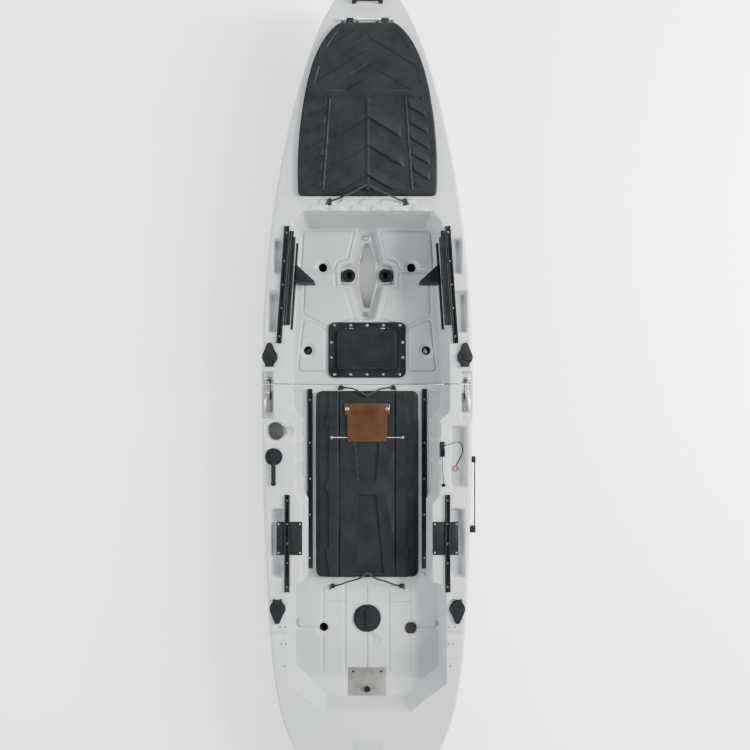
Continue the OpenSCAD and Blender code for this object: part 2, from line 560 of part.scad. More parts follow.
// Steering lever and cables
module at_steer(z) at_seam() translate([steer_spot.x, steer_spot.y, z]) children();
steer_z = sheer(steer_spot.y - 36) + lift;
module steering_base() color([0.13, 0.13, 0.14]) at_steer(steer_z) {
    cylinder(r = 36, h = 8);
    cylinder(r = 6, h = 26);
    translate([0, 0, 24]) cylinder(r = 10, h = 3);
    translate([0, 0, -30]) cylinder(r = 7, h = 31);
}
module steering_handle() color([0.13, 0.13, 0.14]) at_steer(steer_z + 8 + gap) difference() {
    union() {
        cylinder(r = 20, h = 12);
        translate([-9, 15 - steer_len, 1]) cube([18, steer_len - 15, 10]);
        translate([0, 11 - steer_len, 1]) cylinder(r = 11, h = 10);
    }
    translate([0, 0, -eps]) cylinder(r = 6 + fit, h = 20);
}
cable_x = rod_spots[1].x + 33;
cable_routes = [
    [[steer_spot.x - 3, steer_spot.y - 4, 300], [steer_spot.x - 6, steer_spot.y - 32, 284],
        [-cable_x, rod_spots[1].y + 118, 280], [-cable_x, rod_spots[1].y - 82, 280],
        [-(half - 74), 130 - tank_end, 282], [-(half - 196), -tank_end - 150, 300],
        [-70, 54 - stern_len, 325], [-22, 34 - stern_len, 335], [-22, 18 - stern_len, 335]],
    [[steer_spot.x + 5, steer_spot.y - 4, 300], [steer_spot.x + 1, steer_spot.y - 32, 280],
        [-cable_x, rod_spots[1].y + 118, 271], [-cable_x, rod_spots[1].y - 82, 271],
        [-(half - 88), 130 - tank_end, 280], [-(half - 214), -tank_end - 130, 300],
        [-30, 70 - stern_len, 325], [22, 36 - stern_len, 335], [22, 18 - stern_len, 335]]];
module steering_cables() color([0.6, 0.6, 0.62]) at_seam() for (route = cable_routes) tube(route, 5, 8);

// Rudder: bracket on the transom, head that steers, blade that kicks up
pin_low = 205;
pin_high = 325;
module at_transom() at_seam() translate([0, -stern_len, 0]) children();
module rudder_bracket() color([0.13, 0.13, 0.14]) at_transom() difference() {
    union() {
        translate([-26, -8, pin_low - 10]) cube([52, 8, pin_high - pin_low + 20]);
        for (z = [pin_low, pin_high - 15]) {
            translate([-13, -26, z]) cube([26, 20, 15]);
            translate([0, -26, z]) cylinder(r = 13, h = 15);
        }
    }
    translate([0, -26, 0]) cylinder(r = rudder_pin_r + fit, h = open_z);
}
module rudder_pin() color([0.7, 0.7, 0.72]) at_transom() translate([0, -26, pin_low - 4]) {
    cylinder(r = rudder_pin_r, h = pin_high - pin_low + 8);
    translate([0, 0, pin_high - pin_low + 4]) cylinder(r = 8, h = 4);
    cylinder(r = 8, h = 3.5);
}
cheek_t = 6;
module rudder_head() color([0.13, 0.13, 0.14]) at_transom() difference() {
    head_w = blade_t + 2 * gap + 2 * cheek_t;
    union() {
        translate([0, -26, pin_low + 15 + gap]) cylinder(r = 12, h = pin_high - pin_low - 30 - 2 * gap);
        translate([-head_w / 2, -reach, pivot_z - 26]) cube([head_w, 40, 52]);
        translate([0, -reach, pivot_z]) along_x(26, head_w);
    }
    translate([-blade_t / 2 - gap, -reach - 30, pivot_z - 40]) cube([blade_t + 2 * gap, 55, 80]);
    translate([0, -26, 0]) cylinder(r = rudder_pin_r + fit, h = open_z);
    translate([0, -reach, pivot_z]) along_x(4 + fit, 60);
}
module rudder_blade() color([0.13, 0.13, 0.14]) at_transom() translate([-blade_t / 2, -reach, pivot_z])
    rotate([90, 0, 90]) linear_extrude(blade_t) difference() {
        union() {
            circle(r = 20);
            polygon([[0, 20], [-50, 22], [-90, 46], [-blade_len + 20, 40], [-blade_len, 22],
                [-blade_len, -30], [-blade_len + 30, -50], [-90, -54], [-50, -24], [0, -20]]);
        }
        circle(r = 4 + fit);
    }
module blade_pin() color([0.7, 0.7, 0.72]) at_transom() translate([0, -reach, pivot_z])
    along_x(4, blade_t + 2 * cheek_t + 8);

// Drive well fittings
module well_liner() color([0.62, 0.63, 0.65]) at_seam() difference() {
    translate([0, 0, 20]) linear_extrude(foot_floor - dish_depth + 2 - 20)
        polygon(well_outline(well_side, -gap, well_mid));
    linear_extrude(foot_floor) polygon(well_outline(well_side, -gap - 3, well_mid));
}
module drive_clips() color([0.75, 0.75, 0.77]) at_seam() for (u = [652, 312]) {
    translate([-16, u - 12, foot_floor - dish_depth]) cube([32, 24, 3]);
    translate([-9, u - 5, foot_floor - dish_depth + 2]) cube([18, 10, 14]);
}
module drive_sockets() color([0.08, 0.08, 0.09]) at_seam() both_sides()
    translate([80, 482, foot_floor - dish_depth]) difference() {
        cylinder(r = 28, h = 26);
        translate([0, 0, 4]) cylinder(r = 14, h = 30);
    }
module scupper_plug() color([0.6, 0.62, 0.63]) at_seam() translate([tank_scupper.x, tank_scupper.y, seat_floor]) {
    translate([0, 0, -40]) cylinder(r = scupper_r - gap, h = 41);
    translate([0, 0, 0.1]) cylinder(r = scupper_r + 6, h = 5);
}

// Round hatch in the tank well
module round_hatch_ring() color([0.12, 0.13, 0.14]) at_seam() translate([0, round_hatch_u, seat_floor]) difference() {
    union() {
        cylinder(r = round_hatch_r + 13, h = 6);
        translate([0, 0, -16]) cylinder(r = round_hatch_r + 1.6, h = 17);
    }
    translate([0, 0, -20]) cylinder(r = round_hatch_r, h = 40);
}
module round_hatch_lid() color([0.12, 0.13, 0.14]) at_seam() translate([0, round_hatch_u, seat_floor]) {
    translate([0, 0, -10]) cylinder(r = round_hatch_r - gap, h = 17);
    translate([0, 0, 6 + gap]) cylinder(r = round_hatch_r + 5, h = 3);
    translate([-6, 6 - round_hatch_r, 8]) cube([12, 2 * round_hatch_r - 12, 8]);
}
module stern_plate() color([0.66, 0.67, 0.69]) at_seam() translate([-81, -tank_end + 74, seat_floor]) {
    translate([0, 0, 0.1]) cube([162, 42, 3]);
    rotate([90, 0, 90]) linear_extrude(162) polygon([[0, 0.1], [0, 3.1], [-66, 35.6], [-66, 32.6]]);
}
module side_plates() color([0.1, 0.1, 0.11]) at_seam() both_sides() difference() {
    translate([half - 182, -700, sheer(-700) + lift]) cube([106, 137, 4]);
    translate([half - 120 - track_w / 2 - 1, -900, sheer(-700) - 2]) cube([track_w + 2, 500, 12]);
}

// Carry handles: one on the starboard side, one on each end deck
module grab(u) {
    z = max(sheer(u - 12), sheer(u + 12)) + lift;
    for (x = [-62, 44]) translate([x, u - 12, z]) cube([18, 24, 22]);
    translate([-46, u - 8, z + 12]) cube([92, 16, 10]);
}
module carry_handles() color([0.12, 0.12, 0.13]) at_seam() {
    for (u = [-601, -312]) translate([half - 24, u - 12, 285]) cube([23, 26, 34]);
    translate([half - 6, -600, 292]) cube([4, 300, 20]);
    grab(bow_len - 110);
    grab(-stern_len + 160);
}

// Rudder lift cord, its cleat and its pull ring
// (x is counted from the tray's inner edge, and y from the seam)
lift_route = [[-30, -412, 341], [-31, -392, 338], [-34, -350, 337], [-36, -310, 337], [-36, -276, 337],
    [-28, -256, 338], [-10, -248, 338], [8, -244, 330], [24, -240, 310], [40, -242, 300],
    [51, -258, 299], [52, -280, 299], [44, -304, 299], [34, -324, 299], [26, -340, 299]];
ring_at = [24, -350];
module at_tray() translate([tray[0], seam_y, 0]) children();
module lift_cord() color([0.08, 0.08, 0.08]) at_tray() tube(smooth(lift_route, 1), 4, 8);
module lift_ring() color([0.55, 0.06, 0.08]) at_tray() translate([ring_at.x, ring_at.y, gunwale_z - 34 + 2.8])
    rotate_extrude() translate([10, 0]) circle(r = 2.6);
module cord_cleat() color([0.08, 0.08, 0.09]) at_tray() {
    translate([-47, -298, sheer(-298) + lift]) cube([22, 62, 4]);
    for (x = [-47, -31]) translate([x, -298, sheer(-298) + lift]) cube([6, 34, 14]);
    translate([-30, -414, sheer(-422) + lift]) difference() {
        cylinder(r = 8, h = 8);
        translate([0, 0, 2]) cylinder(r = 4, h = 10);
    }
}

bow_module();
stern_module();
seam_seal();
module_pins();
bow_hatch_lid();
bow_hatch_seal();
bow_hatch_pin();
bow_bungee();
bungee_eyes();
deck_hatch_frame();
deck_hatch_lid();
deck_hatch_seal();
deck_hatch_pin();
deck_hatch_screws();
centre_hatch_lid();
centre_hatch_seal();
centre_front_bungee();
centre_rear_bungee();
lid_panel();
lid_panel_screws();
lid_panel_cord();
foot_rails();
foot_peg_left();
foot_peg_right();
front_gear_tracks();
rear_gear_tracks();
seat_tracks();
track_screws();
rod_holders();
rod_cap_front_left();
rod_cap_front_right();
rod_cap_rear_left();
rod_cap_rear_right();
rod_cap_pins();
latch_bases();
latch_keepers();
latch_lever_left();
latch_lever_right();
latch_loop_left();
latch_loop_right();
steering_base();
steering_handle();
steering_cables();
rudder_bracket();
rudder_pin();
rudder_head();
rudder_blade();
blade_pin();
well_liner();
drive_clips();
drive_sockets();
scupper_plug();
round_hatch_ring();
round_hatch_lid();
stern_plate();
side_plates();
carry_handles();
lift_cord();
lift_ring();
cord_cleat();
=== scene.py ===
"""Pedal kayak in two latched modules: the looks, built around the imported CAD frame.

Everything is in metres in the frame's own axes: +Y bow, +X starboard, +Z up. Stations are
counted along Y from the seam between the modules, as u.
"""
import json
import math

import bmesh
import bpy
import numpy as np
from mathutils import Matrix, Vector

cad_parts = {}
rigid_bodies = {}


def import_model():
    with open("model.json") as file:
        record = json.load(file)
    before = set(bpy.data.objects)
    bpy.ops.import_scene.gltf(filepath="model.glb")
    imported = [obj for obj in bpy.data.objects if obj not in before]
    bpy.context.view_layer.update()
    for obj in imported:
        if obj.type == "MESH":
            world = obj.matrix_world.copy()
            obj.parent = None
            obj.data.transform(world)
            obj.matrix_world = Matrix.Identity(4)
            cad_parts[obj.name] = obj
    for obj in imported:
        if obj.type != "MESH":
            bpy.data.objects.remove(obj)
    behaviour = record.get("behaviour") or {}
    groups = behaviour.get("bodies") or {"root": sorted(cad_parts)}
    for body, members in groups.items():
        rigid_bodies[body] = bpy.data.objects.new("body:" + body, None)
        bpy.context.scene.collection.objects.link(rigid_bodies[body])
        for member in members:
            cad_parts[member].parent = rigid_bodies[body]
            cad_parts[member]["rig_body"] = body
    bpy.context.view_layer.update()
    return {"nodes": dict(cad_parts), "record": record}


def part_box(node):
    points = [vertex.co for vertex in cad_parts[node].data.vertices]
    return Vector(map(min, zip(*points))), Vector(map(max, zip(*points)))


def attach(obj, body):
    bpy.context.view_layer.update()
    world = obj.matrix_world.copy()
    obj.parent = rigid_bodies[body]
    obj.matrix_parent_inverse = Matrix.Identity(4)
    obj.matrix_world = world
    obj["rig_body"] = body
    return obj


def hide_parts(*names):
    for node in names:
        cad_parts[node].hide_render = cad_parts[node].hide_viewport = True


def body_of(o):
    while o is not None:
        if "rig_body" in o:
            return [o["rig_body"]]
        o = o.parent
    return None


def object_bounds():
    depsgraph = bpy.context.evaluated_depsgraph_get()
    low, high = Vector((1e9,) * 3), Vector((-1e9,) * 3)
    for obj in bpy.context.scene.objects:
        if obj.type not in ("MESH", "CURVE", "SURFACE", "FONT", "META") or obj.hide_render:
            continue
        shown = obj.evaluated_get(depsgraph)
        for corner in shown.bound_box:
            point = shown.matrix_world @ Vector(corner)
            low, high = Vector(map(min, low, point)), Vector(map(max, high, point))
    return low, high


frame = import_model()

# ---------------------------------------------------------------- driving sizes, from the frame
bow_lo, bow_hi = (Vector(c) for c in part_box("bow_module"))
stern_lo, stern_hi = (Vector(c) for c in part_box("stern_module"))
SEAM = (bow_lo.y + stern_hi.y) / 2
SEAM_GAP = bow_lo.y - stern_hi.y
HALF = (bow_hi.x - bow_lo.x) / 2
BOW_LEN = bow_hi.y - SEAM
STERN_LEN = SEAM - stern_lo.y
GUNWALE = 0.330
BOW_RISE = bow_hi.z - GUNWALE
STERN_RISE = stern_hi.z - GUNWALE
FOOT_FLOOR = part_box("deck_hatch_frame")[0][2]
SEAT_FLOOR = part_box("seat_tracks")[0][2]
FOOTWELL = 0.700
TANK_START = 0.830
TANK_END = STERN_LEN - 0.330
KEEL_BOW = 0.190
KEEL_STERN = 0.150
EDGE_R = 0.011


def node_box(name):
    low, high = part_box(name)
    return Vector(low), Vector(high)


def half_beam(u):
    t = np.clip(np.asarray(u, float) / np.where(np.asarray(u) >= 0, BOW_LEN, -STERN_LEN), 0, 1)
    bow = HALF * (1 - 0.69 * t ** 2.2) * np.sqrt(1 - 0.985 * t ** 14)
    stern = HALF * (1 - 0.19 * t * t) * np.sqrt(1 - 0.99 * t ** 10)
    return np.where(np.asarray(u) >= 0, bow, stern)


def sheer(u):
    u = np.asarray(u, float)
    bow = BOW_RISE * np.clip(u / BOW_LEN, 0, 1) ** 2.5
    stern = STERN_RISE * np.clip(-u / STERN_LEN, 0, 1) ** 2
    return GUNWALE + np.where(u >= 0, bow, stern)


def keel(u):
    u = np.asarray(u, float)
    bow = KEEL_BOW * (np.clip(u / BOW_LEN - 0.3, 0, 1) / 0.7) ** 3
    stern = KEEL_STERN * (np.clip(-u / STERN_LEN - 0.3, 0, 1) / 0.7) ** 3
    return np.where(u >= 0, bow, stern)


# ---------------------------------------------------------------- plan outlines
def from_beam(side):
    return [(HALF - inset, u) for inset, u in side]


def both(side):
    return list(side) + [(-x, u) for x, u in reversed(side)]


FOOT_SIDE = from_beam([(0.114, -0.02), (0.114, 0), (0.118, 0.230), (0.143, 0.600),
                       (0.148, FOOTWELL - 0.04), (0.186, FOOTWELL)])
TROUGH_SIDE = from_beam([(0.278, -TANK_END), (0.186, -TANK_END + 0.07), (0.130, -TANK_END + 0.11),
                         (0.130, -TANK_START - 0.02), (0.136, -TANK_START), (0.186, -TANK_START + 0.015),
                         (0.186, -0.490), (0.158, -0.455), (0.158, -0.150), (0.114, -0.110),
                         (0.114, 0), (0.114, 0.02)])
WELL_SIDE = [(0.013, 0.338), (0.041, 0.432), (0.041, 0.546), (0.013, 0.629)]
DISH_SIDE = [(0.020, 0.284), (0.032, 0.294), (0.070, 0.440), (0.120, 0.441), (0.120, 0.522),
             (0.069, 0.536), (0.036, 0.687)]
LID_REAR = node_box("bow_hatch_lid")[0].y - SEAM
LID_FRONT = BOW_LEN - 0.200
LID_TOP = 0.032


def lid_half(u):
    s = np.clip((np.asarray(u, float) - LID_REAR) / (LID_FRONT - LID_REAR), 0, 1)
    return (half_beam(u) - 0.036 - 0.073 * (1 - s) ** 2) * np.sqrt(1 - 0.55 * s ** 12)


def rectangle(x0, x1, u0, u1):
    return [(x1, u0), (x1, u1), (x0, u1), (x0, u0)]


def round_corners(points, radius, steps=6):
    """The outline with each corner turned into an arc."""
    out = []
    n = len(points)
    for i in range(n):
        p = Vector(points[i])
        a = Vector(points[i - 1]) - p
        b = Vector(points[(i + 1) % n]) - p
        angle = a.angle(b)
        if angle > math.radians(178):
            out.append(tuple(p))
            continue
        reach = min(radius / math.tan(angle / 2), 0.48 * a.length, 0.48 * b.length)
        start = p + a.normalized() * reach
        end = p + b.normalized() * reach
        for k in range(steps + 1):
            t = k / steps
            out.append(tuple(start * (1 - t) ** 2 + p * 2 * t * (1 - t) + end * t * t))
    return out


def circle(cx, cu, r, n=40):
    return [(cx + r * math.cos(2 * math.pi * k / n), cu + r * math.sin(2 * math.pi * k / n))
            for k in range(n)]


def mirror_outline(points):
    return [(-x, u) for x, u in reversed(points)]


def signed_distance(x, u, outline):
    """Distance to the outline, negative inside it."""
    best = np.full(x.shape, 1e9)
    inside = np.zeros(x.shape, bool)
    for (ax, au), (bx, bu) in zip(outline, outline[1:] + outline[:1]):
        ex, eu = bx - ax, bu - au
        length = ex * ex + eu * eu
        if length < 1e-14:
            continue
        t = np.clip(((x - ax) * ex + (u - au) * eu) / length, 0, 1)
        best = np.minimum(best, (x - ax - ex * t) ** 2 + (u - au - eu * t) ** 2)
        if abs(eu) > 1e-12:
            crosses = ((au <= u) != (bu <= u)) & (x < ex * (u - au) / eu + ax)
            inside ^= crosses
    return np.where(inside, -1, 1) * np.sqrt(best)


def smooth(t):
    t = np.clip(t, 0, 1)
    return t * t * (3 - 2 * t)


# ---------------------------------------------------------------- mesh building
def new_object(name, data):
    obj = bpy.data.objects.new(name, data)
    bpy.context.scene.collection.objects.link(obj)
    return obj


def ring_faces(rows, n):
    """Faces between rows of n points that close on themselves."""
    return [(r * n + i, r * n + (i + 1) % n, (r + 1) * n + (i + 1) % n, (r + 1) * n + i)
            for r in range(rows - 1) for i in range(n)]


def grid_faces(rows, columns):
    """Faces of an open grid, as an array, with the grid's own numbering."""
    index = np.arange(rows * columns).reshape(rows, columns)
    return np.stack([index[:-1, :-1], index[:-1, 1:], index[1:, 1:], index[1:, :-1]], -1), index


def at_stations(points):
    """Points given by x, station and height, as places in the frame."""
    return [Vector((x, u + SEAM, z)) for x, u, z in points]


class Shape:
    """Collects vertices and faces for one piece."""

    def __init__(self):
        self.verts = []
        self.faces = []

    def add(self, verts, faces):
        start = len(self.verts)
        self.verts.extend(verts)
        self.faces.extend([tuple(start + i for i in face) for face in faces])
        return self

    def plate(self, outline, z0, z1, chamfer=0.0015, warp=None, bottom=False):
        """A raised plate over a plan outline, with a chamfered top edge."""
        pts = [Vector(p) for p in outline]
        if sum(a.x * b.y - b.x * a.y for a, b in zip(pts, pts[1:] + pts[:1])) < 0:
            pts.reverse()
        n = len(pts)
        inner = []
        for i in range(n):
            a = (pts[i] - pts[i - 1]).normalized()
            b = (pts[(i + 1) % n] - pts[i]).normalized()
            na = Vector((-a.y, a.x))
            nb = Vector((-b.y, b.x))
            mid = na + nb
            scale = chamfer / max(0.35, mid.normalized().dot(na)) if mid.length > 1e-6 else chamfer
            inner.append(pts[i] + mid.normalized() * scale)
        lift = warp or (lambda x, u: 0.0)
        rows = [[(p.x, p.y + SEAM, z + lift(p.x, p.y)) for p in ring]
                for ring, z in ((pts, z0), (pts, z1 - chamfer), (inner, z1))]
        verts = [v for row in rows for v in row]
        faces = ring_faces(3, n) + [tuple(2 * n + i for i in range(n))]
        if bottom:
            faces.append(tuple(reversed(range(n))))
        return self.add(verts, faces)

    def lathe(self, centre, profile, segments=40, axis="z"):
        """A turned shape: profile is a list of (radius, height) from outside in or bottom to top."""
        rows = []
        for r, h in profile:
            row = []
            for k in range(segments):
                a = 2 * math.pi * k / segments
                p = {"z": (r * math.cos(a), r * math.sin(a), h),
                     "x": (h, r * math.cos(a), r * math.sin(a)),
                     "y": (r * math.sin(a), h, r * math.cos(a))}[axis]
                row.append(tuple(centre[i] + p[i] for i in range(3)))
            rows.append(row)
        return self.add([v for row in rows for v in row], ring_faces(len(rows), segments))

    def block(self, low, high, taper=0.0):
        """A box with a slightly smaller top."""
        (x0, y0, z0), (x1, y1, z1) = low, high
        t = taper
        verts = [(x0, y0, z0), (x1, y0, z0), (x1, y1, z0), (x0, y1, z0),
                 (x0 + t, y0 + t, z1), (x1 - t, y0 + t, z1), (x1 - t, y1 - t, z1), (x0 + t, y1 - t, z1)]
        return self.add(verts, [(3, 2, 1, 0), (4, 5, 6, 7), (0, 1, 5, 4), (1, 2, 6, 5), (2, 3, 7, 6),
                                (3, 0, 4, 7)])

    def sweep(self, route, radius, sides, ends=True):
        """A round tube along a route of points."""
        route = [Vector(p) for p in route]
        n = len(route)
        rows = []
        side = None
        for i in range(n):
            tangent = (route[min(i + 1, n - 1)] - route[max(i - 1, 0)]).normalized()
            if side is None:
                side = tangent.orthogonal().normalized()
            side = (side - tangent * side.dot(tangent)).normalized()
            up = tangent.cross(side)
            rows.append([tuple(route[i] + (side * math.cos(a) + up * math.sin(a)) * radius)
                         for a in (2 * math.pi * k / sides for k in range(sides))])
        verts = [v for row in rows for v in row]
        faces = ring_faces(n, sides)
        if ends:
            faces.append(tuple(reversed(range(sides))))
            faces.append(tuple((n - 1) * sides + i for i in range(sides)))
        return self.add(verts, faces)

    def piece(self, name, material, body="root", replaces=(), slot=None, sharp=35, bevel=0.0,
              weld=0.0):
        mesh = bpy.data.meshes.new(name)
        mesh.from_pydata([tuple(map(float, v)) for v in self.verts], [], self.faces)
        mesh.validate()
        obj = new_object(name, mesh)
        bm = bmesh.new()
        bm.from_mesh(mesh)
        if weld:
            bmesh.ops.remove_doubles(bm, verts=bm.verts, dist=weld)
        bmesh.ops.recalc_face_normals(bm, faces=bm.faces)
        bm.to_mesh(mesh)
        bm.free()
        if bevel:
            round_edges(obj, bevel)
        shade(obj.data, sharp)
        obj.data.materials.append(material)
        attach(obj, body)
        if replaces:
            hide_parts(*replaces)
        return obj


def round_edges(obj, width, segments=2):
    modifier = obj.modifiers.new("round", "BEVEL")
    modifier.width = width
    modifier.segments = segments
    modifier.limit_method = "ANGLE"
    modifier.angle_limit = math.radians(30)
    modifier.use_clamp_overlap = True
    graph = bpy.context.evaluated_depsgraph_get()
    mesh = bpy.data.meshes.new_from_object(obj.evaluated_get(graph))
    obj.modifiers.clear()
    old = obj.data
    obj.data = mesh
    bpy.data.meshes.remove(old)


def shade(mesh, sharp):
    """Smooth shading with edges sharper than the angle kept crisp."""
    bm = bmesh.new()
    bm.from_mesh(mesh)
    limit = math.radians(sharp)
    for edge in bm.edges:
        edge.smooth = len(edge.link_faces) == 2 and edge.calc_face_angle(0) < limit
    for face in bm.faces:
        face.smooth = True
    bm.to_mesh(mesh)
    bm.free()


# ---------------------------------------------------------------- materials
def noise(tree, coords, scale, detail=4.0, rough=0.55):
    node = tree.nodes.new("ShaderNodeTexNoise")
    node.inputs["Scale"].default_value = scale
    node.inputs["Detail"].default_value = detail
    node.inputs["Roughness"].default_value = rough
    tree.links.new(coords, node.inputs["Vector"])
    return node.outputs["Fac"]


def ramp(tree, fac, stops):
    node = tree.nodes.new("ShaderNodeValToRGB")
    elements = node.color_ramp.elements
    while len(elements) < len(stops):
        elements.new(0.5)
    for element, (place, colour) in zip(elements, stops):
        element.position = place
        element.color = (*colour, 1) if len(colour) == 3 else colour
    tree.links.new(fac, node.inputs["Fac"])
    return node.outputs["Color"]


def spread(tree, fac, low, high, out_low, out_high):
    node = tree.nodes.new("ShaderNodeMapRange")
    for key, value in zip(("From Min", "From Max", "To Min", "To Max"), (low, high, out_low, out_high)):
        node.inputs[key].default_value = value
    tree.links.new(fac, node.inputs["Value"])
    return node.outputs["Result"]


def bump_chain(tree, layers):
    """layers: (height output, strength, distance). Returns a normal output."""
    normal = None
    for height, strength, distance in layers:
        node = tree.nodes.new("ShaderNodeBump")
        node.inputs["Strength"].default_value = strength
        node.inputs["Distance"].default_value = distance
        tree.links.new(height, node.inputs["Height"])
        if normal is not None:
            tree.links.new(normal, node.inputs["Normal"])
        normal = node.outputs["Normal"]
    return normal


def new_material(name):
    """A new material with its node tree, its shader and the object's own coordinates."""
    mat = bpy.data.materials.new(name)
    mat.use_nodes = True
    tree = mat.node_tree
    return mat, tree, tree.nodes["Principled BSDF"], tree.nodes.new("ShaderNodeTexCoord").outputs["Object"]


def surface(name, colours, rough, metallic=0.0, grain=(900.0, 0.25, 0.0004), mottle=6.0, scratch=0.0,
            stretch=(1, 1, 1), coat=0.0, gloss=0.5):
    """A procedural plastic, rubber or metal: mottled colour, uneven gloss, fine grain and scuffs."""
    mat, tree, shader, place = new_material(name)
    scaled = tree.nodes.new("ShaderNodeMapping")
    scaled.inputs["Scale"].default_value = stretch
    tree.links.new(place, scaled.inputs["Vector"])
    broad = noise(tree, place, mottle, 5.0, 0.6)
    colour = ramp(tree, broad, [(0.30, colours[0]), (0.70, colours[1])])
    tree.links.new(colour, shader.inputs["Base Color"])
    shader.inputs["Metallic"].default_value = metallic
    patches = noise(tree, scaled.outputs["Vector"], mottle * 9, 6.0, 0.7)
    tree.links.new(spread(tree, patches, 0.25, 0.75, rough[0], rough[1]), shader.inputs["Roughness"])
    layers = [(noise(tree, scaled.outputs["Vector"], grain[0], 3.0, 0.6), grain[1], grain[2])]
    if scratch:
        lines = tree.nodes.new("ShaderNodeMapping")
        lines.inputs["Scale"].default_value = (1, 14, 1)
        lines.inputs["Rotation"].default_value = (0, 0, 0.6)
        tree.links.new(place, lines.inputs["Vector"])
        marks = noise(tree, lines.outputs["Vector"], 40, 8.0, 0.75)
        fine = ramp(tree, marks, [(0.60, (0, 0, 0)), (0.66, (1, 1, 1))])
        layers.append((fine, scratch, 0.0003))
    tree.links.new(bump_chain(tree, layers), shader.inputs["Normal"])
    if coat:
        shader.inputs["Coat Weight"].default_value = coat
        shader.inputs["Coat Roughness"].default_value = 0.2
    shader.inputs["Specular IOR Level"].default_value = gloss
    return mat


def braided(name, dark, light, pitch):
    """Braided cord: crossing strands, from two diagonal waves that run against each other, with painted
    shade in the grooves between strands.
    """
    mat, tree, shader, place = new_material(name)
    heights = []
    for turn in (0.7, -0.7):
        mapping = tree.nodes.new("ShaderNodeMapping")
        mapping.inputs["Rotation"].default_value = (0.3, 0.2, turn)
        tree.links.new(place, mapping.inputs["Vector"])
        wave = tree.nodes.new("ShaderNodeTexWave")
        wave.inputs["Scale"].default_value = 1 / pitch / 6.28 * 2
        wave.inputs["Distortion"].default_value = 0.6
        wave.inputs["Detail"].default_value = 1.0
        tree.links.new(mapping.outputs["Vector"], wave.inputs["Vector"])
        heights.append(wave.outputs["Fac"])
    cross = tree.nodes.new("ShaderNodeMath")
    cross.operation = "MAXIMUM"
    tree.links.new(heights[0], cross.inputs[0])
    tree.links.new(heights[1], cross.inputs[1])
    # painted shade: the colour follows the strands' height, dark down in the grooves between strands and
    # light on their tops
    tree.links.new(ramp(tree, cross.outputs[0], [(0.2, dark), (0.95, light)]), shader.inputs["Base Color"])
    tree.links.new(bump_chain(tree, [(cross.outputs[0], 0.8, 0.0006)]), shader.inputs["Normal"])
    shader.inputs["Roughness"].default_value = 0.8
    shader.inputs["Specular IOR Level"].default_value = 0.2
    return mat


HULL = surface("hull_plastic", ((0.300, 0.325, 0.335), (0.335, 0.360, 0.368)), (0.42, 0.56),
               grain=(1400.0, 0.22, 0.0004), mottle=3.0, scratch=0.05)
BLACK = surface("black_plastic", ((0.0060, 0.0070, 0.0082), (0.0110, 0.0125, 0.0145)), (0.42, 0.60),
                grain=(1600.0, 0.3, 0.0004), mottle=14.0, scratch=0.06, gloss=0.10)
SOFT_BLACK = surface("soft_black", ((0.008, 0.008, 0.009), (0.015, 0.015, 0.016)), (0.55, 0.75),
                     grain=(2200.0, 0.45, 0.0004), mottle=30.0, gloss=0.2)
ANODISED = surface("black_anodised", ((0.008, 0.0085, 0.010), (0.016, 0.017, 0.019)), (0.34, 0.50), 0.35,
                   grain=(700.0, 0.18, 0.0002), mottle=25.0, stretch=(8, 0.4, 8), gloss=0.15)
STEEL = surface("brushed_steel", ((0.50, 0.50, 0.51), (0.66, 0.66, 0.67)), (0.20, 0.40), 1.0,
                grain=(500.0, 0.28, 0.0002), mottle=40.0, stretch=(0.6, 14, 14))
DULL_STEEL = surface("dull_steel", ((0.11, 0.11, 0.098), (0.20, 0.20, 0.182)), (0.45, 0.65), 0.6,
                     grain=(400.0, 0.25, 0.0003), mottle=18.0)
BROWN = surface("brown_panel", ((0.022, 0.0080, 0.0036), (0.058, 0.0235, 0.0090)), (0.26, 0.40),
                grain=(1200.0, 0.12, 0.0003), mottle=7.0, coat=0.25, scratch=0.05, gloss=0.3)
RED = surface("red_plastic", ((0.22, 0.012, 0.018), (0.32, 0.022, 0.03)), (0.25, 0.4),
              grain=(1500.0, 0.15, 0.0003), mottle=60.0, coat=0.3)
GREY_RUBBER = surface("grey_rubber", ((0.30, 0.32, 0.33), (0.37, 0.39, 0.40)), (0.55, 0.7),
                      grain=(1800.0, 0.35, 0.0003), mottle=40.0)
BUNGEE = braided("bungee_braid", (0.004, 0.004, 0.0045), (0.022, 0.022, 0.024), 0.0035)
CORD = braided("cord_braid", (0.005, 0.005, 0.005), (0.030, 0.030, 0.030), 0.0018)
CABLE = braided("wire_rope", (0.06, 0.06, 0.065), (0.42, 0.42, 0.43), 0.0012)
STRING = braided("grey_string", (0.16, 0.17, 0.17), (0.36, 0.37, 0.37), 0.001)

# ---------------------------------------------------------------- CAD nodes that keep their shape
SLOT_MATERIAL = {"hull": HULL, "black_plastic": BLACK, "black_metal": ANODISED, "rubber": SOFT_BLACK,
                 "stainless": STEEL, "cord": CORD, "panel": BROWN, "red_plastic": RED,
                 "grey_plastic": GREY_RUBBER}
node_slot = {row["node"]: row["material_slot"] for row in frame["record"]["subparts"]}
for node_name, node_object in frame["nodes"].items():
    finish_material = SLOT_MATERIAL[node_slot[node_name]]
    if not node_object.material_slots:
        node_object.data.materials.append(finish_material)
    for material_slot in node_object.material_slots:
        material_slot.material = finish_material


